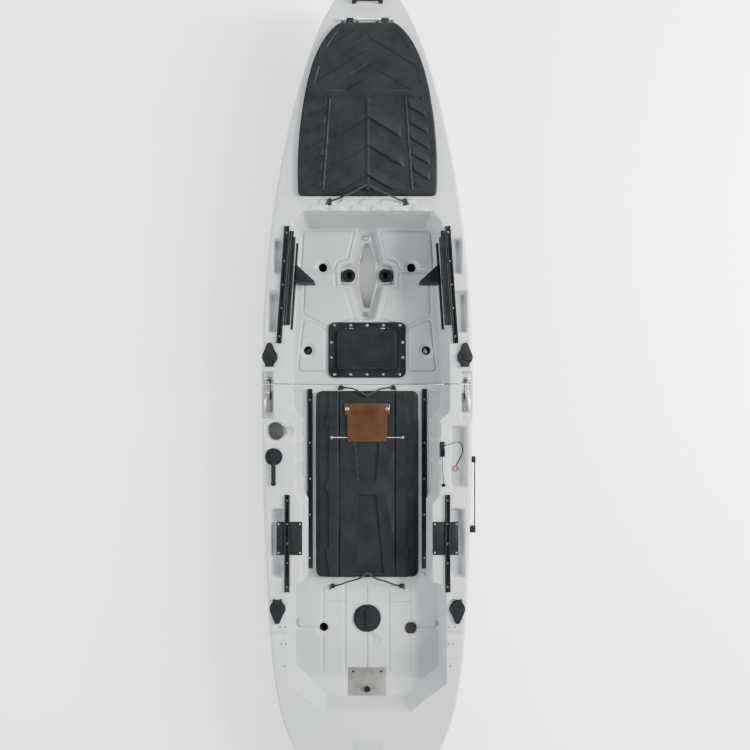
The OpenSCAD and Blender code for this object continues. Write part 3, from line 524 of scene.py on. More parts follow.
def softened(node, width, segments=2, material=None):
    """A copy of a CAD node with its flat facets joined and its edges rounded, standing for it."""
    source = frame["nodes"][node]
    bm = bmesh.new()
    bm.from_mesh(source.data)
    bmesh.ops.remove_doubles(bm, verts=bm.verts, dist=2e-5)
    bmesh.ops.dissolve_limit(bm, angle_limit=math.radians(1), verts=bm.verts, edges=bm.edges)
    mesh = bpy.data.meshes.new(node + "_finished")
    bm.to_mesh(mesh)
    bm.free()
    obj = new_object(node + "_finished", mesh)
    round_edges(obj, width, segments)
    shade(obj.data, 35)
    if not obj.data.materials:
        obj.data.materials.append(None)
    for i in range(len(obj.data.materials)):
        obj.data.materials[i] = material or SLOT_MATERIAL[node_slot[node]]
    body = body_of(source)[0]
    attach(obj, body)
    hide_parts(node)
    return obj


# ---------------------------------------------------------------- hull mouldings
class Deck:
    """The top of a moulding as a grid of heights, carved feature by feature."""

    def __init__(self, stations, columns, wall_x, rim=0.96, height=sheer, edge=EDGE_R, grip=0.0028):
        """columns are shares from 0 to 2: 0 to 1 up to the well wall, and 1 to 2 out to the gunwale."""
        self.rim = rim * half_beam(stations)
        self.edge = edge
        self.grip = grip
        wall = np.minimum(wall_x(stations), 0.86 * self.rim)
        share = np.asarray(columns)
        inner = np.clip(share, 0, 1)[None, :] * wall[:, None]
        outer = np.clip(share - 1, 0, 1)[None, :] * (self.rim - wall)[:, None]
        right = inner + outer
        self.x = np.concatenate([-right[:, :0:-1], right], axis=1)
        self.u = np.repeat(np.asarray(stations)[:, None], self.x.shape[1], axis=1)
        self.z = height(self.u) if height is sheer else height(self.x, self.u)
        self.holes = []

    def _near(self, outline, margin=0.04):
        pts = np.array(outline)
        low, high = pts.min(0) - margin, pts.max(0) + margin
        return (self.x > low[0]) & (self.x < high[0]) & (self.u > low[1]) & (self.u < high[1])

    def sink(self, outline, floor=None, depth=None, start=0.004, end=-0.008):
        """Carves a recess; its wall runs from start to end, measured from the outline."""
        m = self._near(outline)
        sd = signed_distance(self.x[m], self.u[m], outline)
        t = smooth((start - sd) / (start - end))
        z = self.z[m]
        self.z[m] = z - depth * t if floor is None else z * (1 - t) + floor * t

    def lift(self, outline, height, start=0.003, end=-0.003):
        """Raises a flat pad."""
        m = self._near(outline)
        sd = signed_distance(self.x[m], self.u[m], outline)
        self.z[m] += height * smooth((start - sd) / (start - end))

    def band(self, outline, middle, width, height):
        """A raised or sunk band that follows an outline at a distance from it."""
        m = self._near(outline, 0.06)
        sd = signed_distance(self.x[m], self.u[m], outline)
        t = np.clip(1 - np.abs(sd - middle) / (width / 2), 0, 1)
        self.z[m] += height * smooth(t * 1.6)

    def line(self, a, b, width, depth):
        """A straight moulded groove from a to b."""
        ax, au = a
        bx, bu = b
        ex, eu = bx - ax, bu - au
        t = np.clip(((self.x - ax) * ex + (self.u - au) * eu) / (ex * ex + eu * eu), 0, 1)
        d = np.hypot(self.x - ax - ex * t, self.u - au - eu * t)
        self.z -= depth * smooth(1 - d / (width / 2))

    def hole(self, cx, cu, r):
        self.holes.append(("circle", cx, cu, r))

    def slot(self, outline):
        self.holes.append(("outline", outline))

    def faces_and_verts(self):
        """Snaps the grid to the holes' edges, leaves the holes out, and rounds the gunwale edge."""
        x, u, z = self.x.copy(), self.u.copy(), self.z.copy()
        from_rim = self.rim[:, None] - np.abs(x)
        e = np.clip(self.edge - from_rim, 0, self.edge)
        z -= self.edge - np.sqrt(np.maximum(self.edge ** 2 - e ** 2, 0))
        keep = np.ones((x.shape[0] - 1, x.shape[1] - 1), bool)
        for hole in self.holes:
            if hole[0] == "circle":
                _, cx, cu, r = hole
                dx, du = x - cx, u - cu
                d = np.hypot(dx, du) + 1e-9
                near = np.abs(d - r) < self.grip
                x[near] = cx + dx[near] / d[near] * r
                u[near] = cu + du[near] / d[near] * r
                inside = np.hypot(x - cx, u - cu) < r - 2e-4
            else:
                m = self._near(hole[1], 0.01)
                sd = np.full(x.shape, 1.0)
                sd[m] = signed_distance(x[m], u[m], hole[1])
                near = np.abs(sd) < self.grip
                step = 1e-4
                gx = (signed_distance(x[near] + step, u[near], hole[1]) - sd[near]) / step
                gu = (signed_distance(x[near], u[near] + step, hole[1]) - sd[near]) / step
                x[near] -= sd[near] * gx
                u[near] -= sd[near] * gu
                inside = (sd < 0) & ~near
            any_inside = inside[:-1, :-1] | inside[1:, :-1] | inside[:-1, 1:] | inside[1:, 1:]
            keep &= ~any_inside
        verts = np.stack([x, u + SEAM, z], -1).reshape(-1, 3)
        quads, index = grid_faces(*x.shape)
        return verts, quads[keep], index


SIDE_POINTS = [(0.68, 0.04), (0.88, 0.16), (0.97, 0.36), (1.0, 0.6), (0.994, 0.76), (0.985, 0.85),
               (0.981, 0.885), (0.9755, 0.893), (0.9755, 0.903), (0.977, 0.911), (0.96, 1.0)]


def side_profile(steps=4):
    pts = [Vector(p) for p in [(0.5, 0.0)] + SIDE_POINTS + [(0.95, 1.04)]]
    out = []
    for i in range(1, len(pts) - 2):
        a, b, c, d = pts[i - 1:i + 3]
        for k in range(steps):
            t = k / steps
            out.append(0.5 * (2 * b + (c - a) * t + (2 * a - 5 * b + 4 * c - d) * t * t
                              + (3 * b - a - 3 * c + d) * t ** 3))
    out.append(pts[-2])
    return np.array([tuple(p) for p in out])


def bottom_height(x, u):
    """The underside: flat in the middle, two shallow channels, and turned up towards the sides."""
    share = np.abs(x) / np.maximum(half_beam(u), 1e-6)
    height = sheer(u) - keel(u)
    channel = 0.009 * smooth(1 - np.abs(share - 0.30) / 0.07) * smooth((1.35 - np.abs(u)) / 0.2)
    return keel(u) + height * 0.04 * smooth((share - 0.5) / 0.18) + channel


def lid_outline(offset, n=40):
    """The bow hatch lid's edge, moved outwards by offset."""
    side = [(float(lid_half(u)) + offset, float(u)) for u in np.linspace(LID_REAR, LID_FRONT, n)]
    side[0] = (side[0][0], LID_REAR - offset)
    side[-1] = (side[-1][0] - 0.004, LID_FRONT + offset)
    return round_corners(both(side), 0.02, 4)


def wall_strip(shape, outline, low, high):
    """A closed upright wall along an outline; low and high may be functions of x and u."""
    n = len(outline)
    get = lambda z, p: z(*p) if callable(z) else z
    verts = [(x, u + SEAM, float(get(low, (x, u)))) for x, u in outline]
    verts += [(x, u + SEAM, float(get(high, (x, u)))) for x, u in outline]
    shape.add(verts, [(i, (i + 1) % n, n + (i + 1) % n, n + i) for i in range(n)])


def hull_piece(deck, stations, scuppers, slots):
    """One moulding: deck, sides, underside, seam wall and end, with its drain tubes."""
    shape = Shape()
    verts, quads, index = deck.faces_and_verts()
    shape.add(verts.tolist(), quads.tolist())
    rows, cols = index.shape
    grid = verts.reshape(rows, cols, 3)
    profile = side_profile()
    half, low, top = half_beam(stations), keel(stations), sheer(stations) - EDGE_R
    m = len(profile)
    seam_end = int(np.argmin(np.abs(stations)))
    for sign, column in ((1, -1), (-1, 0)):
        x = sign * half[:, None] * profile[None, :, 0]
        z = low[:, None] + (top - low)[:, None] * profile[None, :, 1]
        z[:, 0] = bottom_height(x[:, 0], stations)
        z = np.minimum(z, grid[:, column, 2][:, None])
        y = np.repeat((stations + SEAM)[:, None], m, axis=1)
        faces, number = grid_faces(rows, m)
        start = len(shape.verts)
        shape.add(np.stack([x, y, z], -1).reshape(-1, 3).tolist(), faces.reshape(-1, 4).tolist())
        edge = [start + int(number[seam_end, k]) for k in range(m)]
        shape.faces.append(tuple(edge))
    under = Deck(stations, np.linspace(0, 2, 37), lambda u: 0.34 * half_beam(u), rim=0.68,
                 height=bottom_height, edge=0.0, grip=0.0042)
    for x, u, _, r in scuppers:
        under.hole(x, u, r)
    for outline in slots:
        under.slot(outline)
    below, under_quads, _ = under.faces_and_verts()
    shape.add(below.tolist(), under_quads.tolist())
    # the wall at the seam, from the deck's edge down to the underside
    line = grid[seam_end]
    share = np.abs(line[:, 0]) / half[seam_end]
    foot = np.interp(share, [0, 0.5] + [p[0] for p in profile[:12]], [0, 0] + [p[1] for p in profile[:12]])
    foot = foot * (top[seam_end] - low[seam_end]) + low[seam_end]
    n = len(line)
    shape.add(line.tolist() + [[p[0], p[1], float(z)] for p, z in zip(line, foot)],
              [(k, k + 1, n + k + 1, n + k) for k in range(n - 1)])
    # the far end: its outline drawn in to the centre line, rounded out at the bow
    far = rows - 1 if seam_end == 0 else 0
    loop = []
    for sign in (1, -1):
        points = [(sign * half[far] * p[0], low[far] + (top[far] - low[far]) * p[1]) for p in profile]
        loop += points[::-1] if sign > 0 else points
        if sign > 0:
            loop += [(p[0], p[2]) for p in below.reshape(rows, -1, 3)[far][-2:0:-1]]
    loop += [(p[0], p[2]) for p in grid[far][1:-1]]
    n = len(loop)
    nose = 0.7 * half[far] if seam_end == 0 else 0.0
    turns = [math.pi / 2 * k / 8 for k in range(9)]
    end_y = float(stations[far]) + SEAM
    shape.add([(x * math.cos(a), end_y + nose * math.sin(a), z) for a in turns for x, z in loop],
              ring_faces(len(turns), n))
    for x, u, floor, r in scuppers:
        bottom = float(bottom_height(x, u))
        funnel = [(r + 0.0025, floor - 0.0005), (r + 0.0008, floor - 0.0025), (r, floor - 0.006)]
        shape.lathe((x, u + SEAM, 0), funnel + [(r - 0.0005, (floor + bottom) / 2), (r, bottom)], 40)
    return shape


def bow_wall(u):
    foot = np.interp(u, [p[1] for p in FOOT_SIDE], [p[0] for p in FOOT_SIDE])
    t = smooth((u - FOOTWELL + 0.01) / (LID_REAR - FOOTWELL + 0.01))
    return foot * (1 - t) + (lid_half(u) + 0.006) * t


def stern_wall(u):
    return np.interp(u, [p[1] for p in TROUGH_SIDE], [p[0] for p in TROUGH_SIDE])


def end_steps(start, end, step, fine, reach):
    """Stations with finer steps over the last stretch, where the plan closes."""
    main = np.arange(start, end - reach, step)
    tail = np.linspace(main[-1] + fine * 2, end, int(reach / fine))
    return np.concatenate([main, tail])


def turned(points):
    """The outline on the side that the loop is at."""
    return points if side > 0 else mirror_outline(points)


columns = np.concatenate([np.linspace(0, 0.88, 62), np.linspace(0.88, 1.0, 13)[1:],
                          1 + np.linspace(0, 1, 30)[1:]])
SEAT_R = 0.012

# bow moulding
bow_stations = end_steps(SEAM_GAP / 2, BOW_LEN, 0.0042, 0.0022, 0.12)
bow = Deck(bow_stations, columns, bow_wall)
bow.sink(both(FOOT_SIDE), floor=FOOT_FLOOR, start=0.007, end=-0.013)
for side in (1, -1):
    for panel in ([(0.277, 0.672), (0.060, 0.672), (0.090, 0.560), (0.134, 0.547), (0.146, 0.511),
                   (0.288, 0.506)],
                  [(0.270, 0.488), (0.146, 0.488), (0.142, 0.428), (0.104, 0.420), (0.062, 0.292),
                   (0.172, 0.258), (0.277, 0.312)],
                  [(0.277, 0.284), (0.186, 0.238), (0.186, 0.060), (0.300, 0.060)]):
        pad = round_corners(turned(panel), 0.012, 4)
        bow.lift(pad, 0.0030)
        bow.band(pad, 0.0045, 0.0085, -0.0032)
    bow.sink(round_corners(turned(rectangle(0.342, 0.386, 0.450, 0.598)), 0.012), depth=0.030, start=0.003)
    bow.sink(round_corners(turned(rectangle(0.355, 0.408, 0.209, 0.381)), 0.012), depth=0.030, start=0.003)
    bow.sink(turned(rectangle(0.386, 0.470, -0.05, 0.050)), floor=0.294, start=0.003, end=-0.005)
    for x, u in ((0.196, 0.515), (0.261, 0.149)):
        bow.sink(circle(side * x, u, 0.031), floor=FOOT_FLOOR - 0.003, start=0.003, end=-0.004)
    bow.hole(side * 0.400, 0.110, 0.0240)
bow.band(both(DISH_SIDE), 0.010, 0.016, 0.0032)
bow.sink(both(DISH_SIDE), floor=FOOT_FLOOR - 0.035, start=0.004, end=-0.007)
bow.slot(both(WELL_SIDE))
for row, (u0, u1, shift) in enumerate(((0.733, 0.755, 0.0), (0.705, 0.727, 0.042))):
    for k in range(-3, 4):
        x = k * 0.084 + shift
        if abs(x) < 0.245 - 0.03 * row:
            pad = [(x - 0.034, u0), (x + 0.034, u0), (x + 0.020, u1), (x - 0.020, u1)]
            bow.lift(pad, 0.0080, 0.002, -0.005)
hatch_hole = lid_outline(-0.034)
bow.slot(hatch_hole)
deck_hatch_hole = round_corners(rectangle(-0.122, 0.122, 0.075, 0.227), SEAT_R)
bow.slot(deck_hatch_hole)
SCUPPER_R = 0.019
FOOT_DRAINS = ((0.196, 0.515), (0.261, 0.149))
scuppers = [(s * x, u, FOOT_FLOOR - 0.003, SCUPPER_R) for s in (1, -1) for x, u in FOOT_DRAINS]
for x, u, _, r in scuppers:
    bow.hole(x, u, r + 0.0025)
bow_shape = hull_piece(bow, bow_stations, scuppers, [both(WELL_SIDE)])
wall_strip(bow_shape, both(WELL_SIDE), lambda x, u: bottom_height(x, u), FOOT_FLOOR - 0.035)
wall_strip(bow_shape, hatch_hole, lambda x, u: sheer(u) - 0.016, lambda x, u: sheer(u))
wall_strip(bow_shape, deck_hatch_hole, FOOT_FLOOR - 0.012, FOOT_FLOOR)
bow_shape.piece("bow_hull", HULL, replaces=["bow_module"], slot="hull", sharp=50, weld=0.00015)

# stern moulding
stern_stations = -end_steps(SEAM_GAP / 2, STERN_LEN, 0.0042, 0.0022, 0.12)[::-1]
stern = Deck(stern_stations, columns, stern_wall)
trough = both(TROUGH_SIDE)
stern.sink(trough, floor=SEAT_FLOOR, start=0.007, end=-0.013)
ramp_share = np.clip((-(TANK_END - 0.074) - stern.u) / 0.074, 0, 1)
ramp_inside = np.abs(stern.x) < np.interp(stern.u, [p[1] for p in TROUGH_SIDE], [p[0] for p in TROUGH_SIDE])
stern.z = np.where(ramp_inside, np.maximum(stern.z, SEAT_FLOOR + 0.036 * ramp_share), stern.z)
for side in (1, -1):
    pocket = round_corners(turned(rectangle(0.338, 0.398, -0.795, -0.511)), 0.014)
    stern.sink(pocket, depth=0.030, start=0.003)
    stern.sink(turned(rectangle(0.386, 0.470, -0.141, 0.05)), floor=0.294, start=0.003, end=-0.005)
    stern.sink(round_corners(turned([(0.270, -0.028), (0.322, -0.028), (0.318, -0.095), (0.288, -0.145),
                                     (0.270, -0.145)]), 0.008), depth=0.006, start=0.002, end=-0.003)
    stern.sink(turned(rectangle(0.290, 0.480, -1.046, -1.006)), depth=0.013, start=0.002, end=-0.019)
    stern.line((side * 0.30, -1.083), (side * 0.44, -1.083), 0.009, 0.003)
    stern.line((side * 0.30, -1.128), (side * 0.44, -1.128), 0.009, 0.003)
    for x in (0.095, 0.190):
        stern.line((side * x, -0.872), (side * x, -1.235), 0.011, 0.0060)
    stern.line((side * 0.190, -1.045), (side * 0.300, -1.045), 0.011, 0.0060)
    stern.line((side * 0.095, -0.935), (side * 0.190, -0.935), 0.011, 0.0060)
    stern.sink(circle(side * 0.187, -1.045, 0.031), floor=SEAT_FLOOR - 0.003, start=0.003, end=-0.004)
    stern.hole(side * 0.367, -0.918, 0.0240)
    for k in range(3):
        u0 = -0.165 - 0.085 * k
        stern.sink(turned(rectangle(0.279, 0.300, u0 - 0.058, u0)), depth=0.022, start=0.003, end=-0.005)
stern.line((0, -0.872), (0, -1.235), 0.011, 0.0060)
stern.sink(round_corners(rectangle(0.342, 0.408, -0.426, -0.174), 0.014), floor=0.296, start=0.003)
stern.sink(round_corners(rectangle(-0.372, -0.300, -0.216, -0.176), 0.012), depth=0.018, start=0.003)
stern.sink(circle(-0.380, -0.195, 0.046), depth=0.006, start=0.002, end=-0.004)
stern.hole(-0.380, -0.195, 0.0395)
stern.hole(0, -1.003, 0.0465)
stern.sink(circle(0, -1.003, 0.062), floor=SEAT_FLOOR - 0.001, start=0.002, end=-0.003)
centre_hole = round_corners(rectangle(-0.178, 0.178, -0.785, -0.063), 0.03)
stern.slot(centre_hole)
stern_scuppers = [(s * 0.187, -1.045, SEAT_FLOOR - 0.003, SCUPPER_R) for s in (1, -1)]
for x, u, _, r in stern_scuppers:
    stern.hole(x, u, r + 0.0025)
stern_shape = hull_piece(stern, stern_stations, stern_scuppers, [])
wall_strip(stern_shape, centre_hole, SEAT_FLOOR - 0.014, SEAT_FLOOR)
wall_strip(stern_shape, circle(0, -1.003, 0.0465), SEAT_FLOOR - 0.020, SEAT_FLOOR - 0.001)
CUP = [(0.0395, 0.3245), (0.0385, 0.320), (0.0365, 0.246), (0.032, 0.241), (0.0, 0.2405)]
stern_shape.lathe((-0.380, -0.195 + SEAM, 0), CUP, 48)
stern_shape.piece("stern_hull", HULL, replaces=["stern_module"], slot="hull", sharp=50, weld=0.00015)

# ---------------------------------------------------------------- lids
def edge_roll(distance, radius):
    e = np.clip(radius - distance, 0, radius)
    return radius - np.sqrt(np.maximum(radius ** 2 - e ** 2, 0))


def corner(distance, radius):
    """How far a rounded plan corner pulls the edge in, this far from the end."""
    d = np.clip(radius - distance, 0, radius)
    return radius - np.sqrt(np.maximum(radius ** 2 - d ** 2, 0))


def lid_shell(half_width, u0, u1, steps, across, height, roll, bottom, plan_radius, lip=0.012):
    """A pan-shaped lid: a moulded top with relief, rolled edges, a skirt and a turned-in lip."""
    shape = Shape()
    u = np.linspace(u0, u1, steps)
    width = half_width(u) - corner(np.minimum(u - u0, u1 - u), plan_radius)
    share = np.linspace(-1, 1, across)
    x = width[:, None] * share[None, :]
    uu = np.repeat(u[:, None], across, axis=1)
    from_edge = np.minimum(width[:, None] - np.abs(x), np.minimum(uu - u0, u1 - uu))
    z = height(x, uu, from_edge) - edge_roll(from_edge, roll)
    quads, index = grid_faces(steps, across)
    verts = np.stack([x, uu + SEAM, z], -1).reshape(-1, 3)
    shape.add(verts.tolist(), quads.reshape(-1, 4).tolist())
    loop = list(index[0]) + list(index[1:, -1]) + list(index[-1, -2::-1]) + list(index[-2:0:-1, 0])
    n = len(loop)
    rim = verts[loop]
    centre = np.array([0, (u0 + u1) / 2 + SEAM])
    foot = rim.copy()
    foot[:, 2] = bottom(rim[:, 0], rim[:, 1] - SEAM)
    inward = foot.copy()
    pull = centre - foot[:, :2]
    inward[:, :2] += np.sign(pull) * np.minimum(np.abs(pull), lip)
    start = len(shape.verts)
    shape.verts.extend(foot.tolist() + inward.tolist())
    for k in range(n):
        j = (k + 1) % n
        shape.faces.append((loop[k], loop[j], start + j, start + k))
        shape.faces.append((start + k, start + j, start + n + j, start + n + k))
    return shape


def bow_lid_height(x, u, from_edge):
    """Chevron facets between two long ribs, slanted pads outside them, and a plain front."""
    side = np.abs(x)
    rib = 0.181 - 0.030 * np.clip((u - 0.779) / 0.372, 0, 1)
    across = u + 0.59 * side
    relief = np.zeros(x.shape)
    field = smooth((1.151 - u) / 0.004) * smooth((from_edge - 0.020) / 0.006)
    for front, rear in ((1.128, 1.074), (1.020, 0.963), (0.889, 0.845)):
        saw = np.clip((front - across) / (front - rear), 0, 1) * smooth((across - rear) / 0.003 + 1)
        relief += 0.0065 * saw * smooth((rib - 0.022 - side) / 0.020)
    pads = np.mod(across - 0.012, 0.060) / 0.060
    slant = np.where(pads < 0.55, 1 - pads / 0.55, 0)
    outer = smooth((side - rib - 0.010) / 0.004)
    relief += 0.0050 * slant * outer * smooth((from_edge - 0.030) / 0.010)
    relief += 0.0045 * smooth(1 - np.abs(side - rib) / 0.0055)
    relief += 0.0025 * smooth(1 - side / 0.010) * smooth((u - 0.80) / 0.02)
    plateau = 0.0035 * smooth((u - 1.151) / 0.005)
    ahead = smooth((u - 1.175) / 0.004) * smooth((from_edge - 0.030) / 0.005)
    front_pads = 0.0030 * ahead * (np.mod(across - 0.02, 0.105) > 0.052)
    return sheer(u) + LID_TOP - 0.0075 + relief * field + plateau - front_pads


bow_lid = lid_shell(lid_half, LID_REAR, LID_FRONT, 250, 201, bow_lid_height, 0.009,
                    lambda x, u: sheer(u) + 0.005, 0.016)
nub_y = LID_REAR + 0.022
BOW_NUB = [(0.0085, 0), (0.006, 0.003), (0.0052, 0.013), (0.0075, 0.016), (0.0078, 0.018),
           (0.006, 0.0195), (0, 0.020)]
bow_lid.lathe((0, nub_y + SEAM, float(sheer(nub_y)) + LID_TOP - 0.008), BOW_NUB, 24)
bow_lid.piece("bow_lid_moulding", BLACK, body="bow_lid", slot="black_plastic", sharp=28, weld=1e-5)
hinge_u = LID_FRONT + 0.012
KNUCKLE = [(0.0040, -0.015), (0.0062, -0.015), (0.007, -0.0142), (0.007, 0.0142), (0.0062, 0.015),
           (0.0040, 0.015)]
hinge = Shape()
for x in (-0.070, 0.070):
    z = float(sheer(LID_FRONT)) + 0.018
    hinge.lathe((x, hinge_u + SEAM, z), KNUCKLE, 24, axis="x")
    hinge.block((x - 0.015, LID_FRONT - 0.004 + SEAM, z - 0.005),
                (x + 0.015, hinge_u - 0.002 + SEAM, z + 0.005), 0.001)
hinge.piece("bow_lid_hinge_leaves", BLACK, body="bow_lid", slot="black_plastic", bevel=0.0006)
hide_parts("bow_hatch_lid")

centre_lo, centre_hi = node_box("centre_hatch_lid")
CENTRE_TOP = 0.238
CENTRE_HALF = (centre_hi.x - centre_lo.x) / 2
CENTRE_U0, CENTRE_U1 = centre_lo.y - SEAM, centre_hi.y - SEAM
EDGE_LINE = [(-0.820, 0.163), (-0.790, 0.163), (-0.702, 0.177), (-0.690, 0.163), (-0.470, 0.163),
             (-0.432, 0.179), (-0.395, 0.163), (-0.180, 0.163), (-0.173, 0.178), (-0.095, 0.163),
             (-0.028, 0.163)]
WAIST_LINE = [(-0.830, 0.116), (-0.657, 0.116), (-0.428, 0.066), (-0.254, 0.116), (-0.020, 0.116)]


def centre_lid_height(x, u, from_edge):
    side = np.abs(x)
    edge = np.interp(u, *zip(*EDGE_LINE))
    waist = np.interp(u, *zip(*WAIST_LINE))
    sunk = 0.0050 * smooth((side - edge) / 0.004)
    sunk += 0.0045 * smooth(1 - np.abs(side - 0.1195) / 0.0045)
    between = (side > waist) & (side < 0.1185)
    sunk += np.where(between, 0.0060 * np.clip((side - waist) / np.maximum(0.119 - waist, 0.003), 0, 1), 0)
    for outline in ([(-0.050, -0.234), (0.050, -0.234), (0.036, -0.412), (-0.036, -0.412)],
                    [(-0.037, -0.470), (0.037, -0.470), (0.070, -0.806), (-0.070, -0.806)]):
        sunk += 0.0075 * smooth(0.5 - signed_distance(x, u, outline) / 0.005)
    sunk += 0.0030 * smooth((side - 0.200) / 0.006)
    return CENTRE_TOP - sunk


centre_lid = lid_shell(lambda u: CENTRE_HALF + 0 * u, CENTRE_U0, CENTRE_U1, 270, 175,
                       centre_lid_height, 0.008, lambda x, u: 0.2045 + 0 * x, 0.028)
CENTRE_NUB = [(0.009, 0), (0.0058, 0.006), (0.0048, 0.014), (0.0062, 0.016), (0.0064, 0.018),
              (0.004, 0.019), (0, 0.0192)]
for u in (CENTRE_U0 + 0.010, CENTRE_U1 - 0.010):
    centre_lid.lathe((0, u + SEAM, CENTRE_TOP - 0.008), CENTRE_NUB, 24)
centre_lid.piece("centre_lid_moulding", BLACK, body="centre_lid", replaces=["centre_hatch_lid"],
                 slot="black_plastic", sharp=28, weld=1e-5)

# brown panel on the centre lid, with its two slotted screws and its side cords
panel_lo, panel_hi = node_box("lid_panel")
pc = (panel_lo.y + panel_hi.y) / 2 - SEAM
softened("lid_panel", 0.0022, 3)
for side in (1, -1):
    screw = Shape()
    at = (side * 0.085, pc + 0.058 + SEAM, panel_hi.z)
    screw.lathe(at, [(0.0082, 0.0), (0.0082, 0.0012), (0.0070, 0.0030), (0.0040, 0.0040), (0.0, 0.0042)], 32)
    screw.block((at[0] - 0.0062, at[1] - 0.0011, at[2] + 0.0026),
                (at[0] + 0.0062, at[1] + 0.0011, at[2] + 0.0046), 0.0004)
    screw.piece("panel_screw_%d" % (side + 1), STEEL, body="centre_lid", slot="stainless")
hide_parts("lid_panel_screws")

# deck hatch: framed lid with a plain raised panel and a finger recess
softened("deck_hatch_frame", 0.0018, 2)
softened("deck_hatch_lid", 0.0016, 2)
dl_lo, dl_hi = node_box("deck_hatch_lid")
dl_u = (dl_lo.y + dl_hi.y) / 2 - SEAM
relief = Shape()
for inset, rise in ((0.012, 0.0014), (0.026, 0.0026)):
    tier = rectangle(-0.1305 + inset, 0.1305 - inset, dl_u - 0.088 + inset, dl_u + 0.083 - inset)
    relief.plate(round_corners(tier, 0.010), dl_hi.z - 0.0008, dl_hi.z + rise, 0.0010)
for k in range(7):
    u = dl_u - 0.040 + 0.015 * k
    rib = round_corners(rectangle(-0.085, 0.085, u, u + 0.0055), 0.0027)
    relief.plate(rib, dl_hi.z + 0.0020, dl_hi.z + 0.0038, 0.0008)
relief.piece("deck_lid_relief", BLACK, body="deck_lid", slot="black_plastic")


# ---------------------------------------------------------------- fittings
# nodes by edge radius and bevel steps
ROUNDED = {
    (0.0012, 2): "foot_rails bungee_eyes",
    (0.0007, 2): "front_gear_tracks rear_gear_tracks seat_tracks latch_lever_left latch_lever_right "
                 "well_liner",
    (0.0006, 2): "track_screws blade_pin deck_hatch_screws",
    (0.0014, 3): "rod_holders",
    (0.0003, 2): "rod_cap_pins",
    (0.0008, 2): "latch_bases latch_keepers rudder_pin drive_clips bow_hatch_pin",
    (0.0004, 2): "latch_loop_left latch_loop_right deck_hatch_pin",
    (0.0016, 3): "steering_base drive_sockets round_hatch_ring round_hatch_lid rod_cap_front_left "
                 "rod_cap_front_right rod_cap_rear_left rod_cap_rear_right",
    (0.0016, 2): "rudder_bracket",
    (0.002, 3): "rudder_head carry_handles",
    (0.0022, 3): "rudder_blade foot_peg_left foot_peg_right",
    (0.0012, 3): "scupper_plug",
    (0.001, 2): "stern_plate cord_cleat module_pins",
    (0.0009, 2): "side_plates",
    (0.0003, 1): "lift_ring",
    (0.0026, 3): "steering_handle",
}
OTHER_FINISH = {"scupper_plug": SOFT_BLACK, "stern_plate": DULL_STEEL}
finished = {name: softened(name, width, steps, OTHER_FINISH.get(name))
            for (width, steps), names in ROUNDED.items() for name in names.split()}


def screw_head(shape, at, r, height=0.0022):
    """A pan-head screw with a sunk middle."""
    profile = [(1, 0), (1, 0.45), (0.85, 0.8), (0.5, 1), (0.42, 1), (0.34, 0.35), (0, 0.3)]
    shape.lathe(at, [(r * a, height * b) for a, b in profile], 20)


# screws on the flat plates and on the rod-holder caps
plate_screws = Shape()
plates_lo, plates_hi = node_box("side_plates")
for side in (1, -1):
    for x in (0.275, 0.363):
        for y in (plates_lo.y + 0.010, plates_hi.y - 0.010):
            screw_head(plate_screws, (side * x, y, plates_hi.z), 0.0038)
stern_lo_plate, stern_hi_plate = node_box("stern_plate")
plate_screws.piece("plate_screws", STEEL, slot="stainless")
PLATE_SCREW = [(0.0048, 0), (0.0044, 0.0014), (0.0026, 0.0020), (0.0020, 0.0006), (0, 0.0006)]
DRAIN_PLUG = [(0.0135, 0), (0.0135, 0.003), (0.0115, 0.0045), (0.006, 0.0045), (0.005, 0.0025), (0, 0.0025)]
INSERT = [(0.0045, -0.0002), (0.0042, 0.0009), (0.0028, 0.0011), (0.0024, -0.0002), (0, -0.0002)]
drain = Shape()
for x in (-0.0595, 0.0595):
    drain.lathe((x, stern_hi_plate.y - 0.018, SEAT_FLOOR + 0.0031), PLATE_SCREW, 20)
drain.lathe((0, stern_lo_plate.y + 0.030, stern_hi_plate.z), DRAIN_PLUG, 32)
for x, u in ((0.356, -0.993), (0.334, -0.993), (0.351, -1.062), (0.333, -1.062), (0.338, -1.152)):
    for side in (1, -1):
        drain.lathe((side * x, u + SEAM, float(sheer(u))), INSERT, 20)
drain.piece("drain_plug_and_inserts", BLACK, slot="black_plastic")

# ribbed strips above the foot rails, on the edge of the deck
flanges = Shape()
for side in (1, -1):
    for inner, outer, top, front, base in ((-0.012, -0.004, 0.0070, 0.600, -0.012),
                                           (-0.004, 0.005, 0.0050, 0.626, -0.002),
                                           (0.005, 0.0125, 0.0070, 0.626, -0.002)):
        stretch = np.linspace(0.240, front, 12)
        edge = [(side * (float(bow_wall(u)) + inner), float(u)) for u in stretch]
        edge += [(side * (float(bow_wall(u)) + outer), float(u)) for u in stretch[::-1]]
        flanges.plate(edge, base, top, 0.0012, warp=lambda x, u: float(sheer(u)), bottom=True)
flanges.piece("foot_rail_flanges", ANODISED, slot="black_metal")

# dark linings in the drain holes: painted shade, black sleeves that stand in for the shade down inside the
# holes
shade_linings = Shape()
for x, u, floor, r in scuppers + stern_scuppers[1:]:
    foot = float(bottom_height(x, u))
    inner = [(0.0006, 0.006), (0.0016, 0.005), (0.0030, 0.006), (0.0034, 0.030), (0.0075, 0.033),
             (0.0078, 0.040), (0.0040, 0.044)]
    profile = [(r - 0.0006, foot + 0.002)] + [(r - thick, floor - deep) for thick, deep in inner]
    shade_linings.lathe((x, u + SEAM, 0), profile + [(r - 0.0040, foot + 0.002), (r - 0.0006, foot + 0.002)], 32)
# painted shade: these black linings darken the drain holes in place of the shade inside them
shade_linings.piece("drain_hole_painted_shade_linings", SOFT_BLACK, slot="rubber")

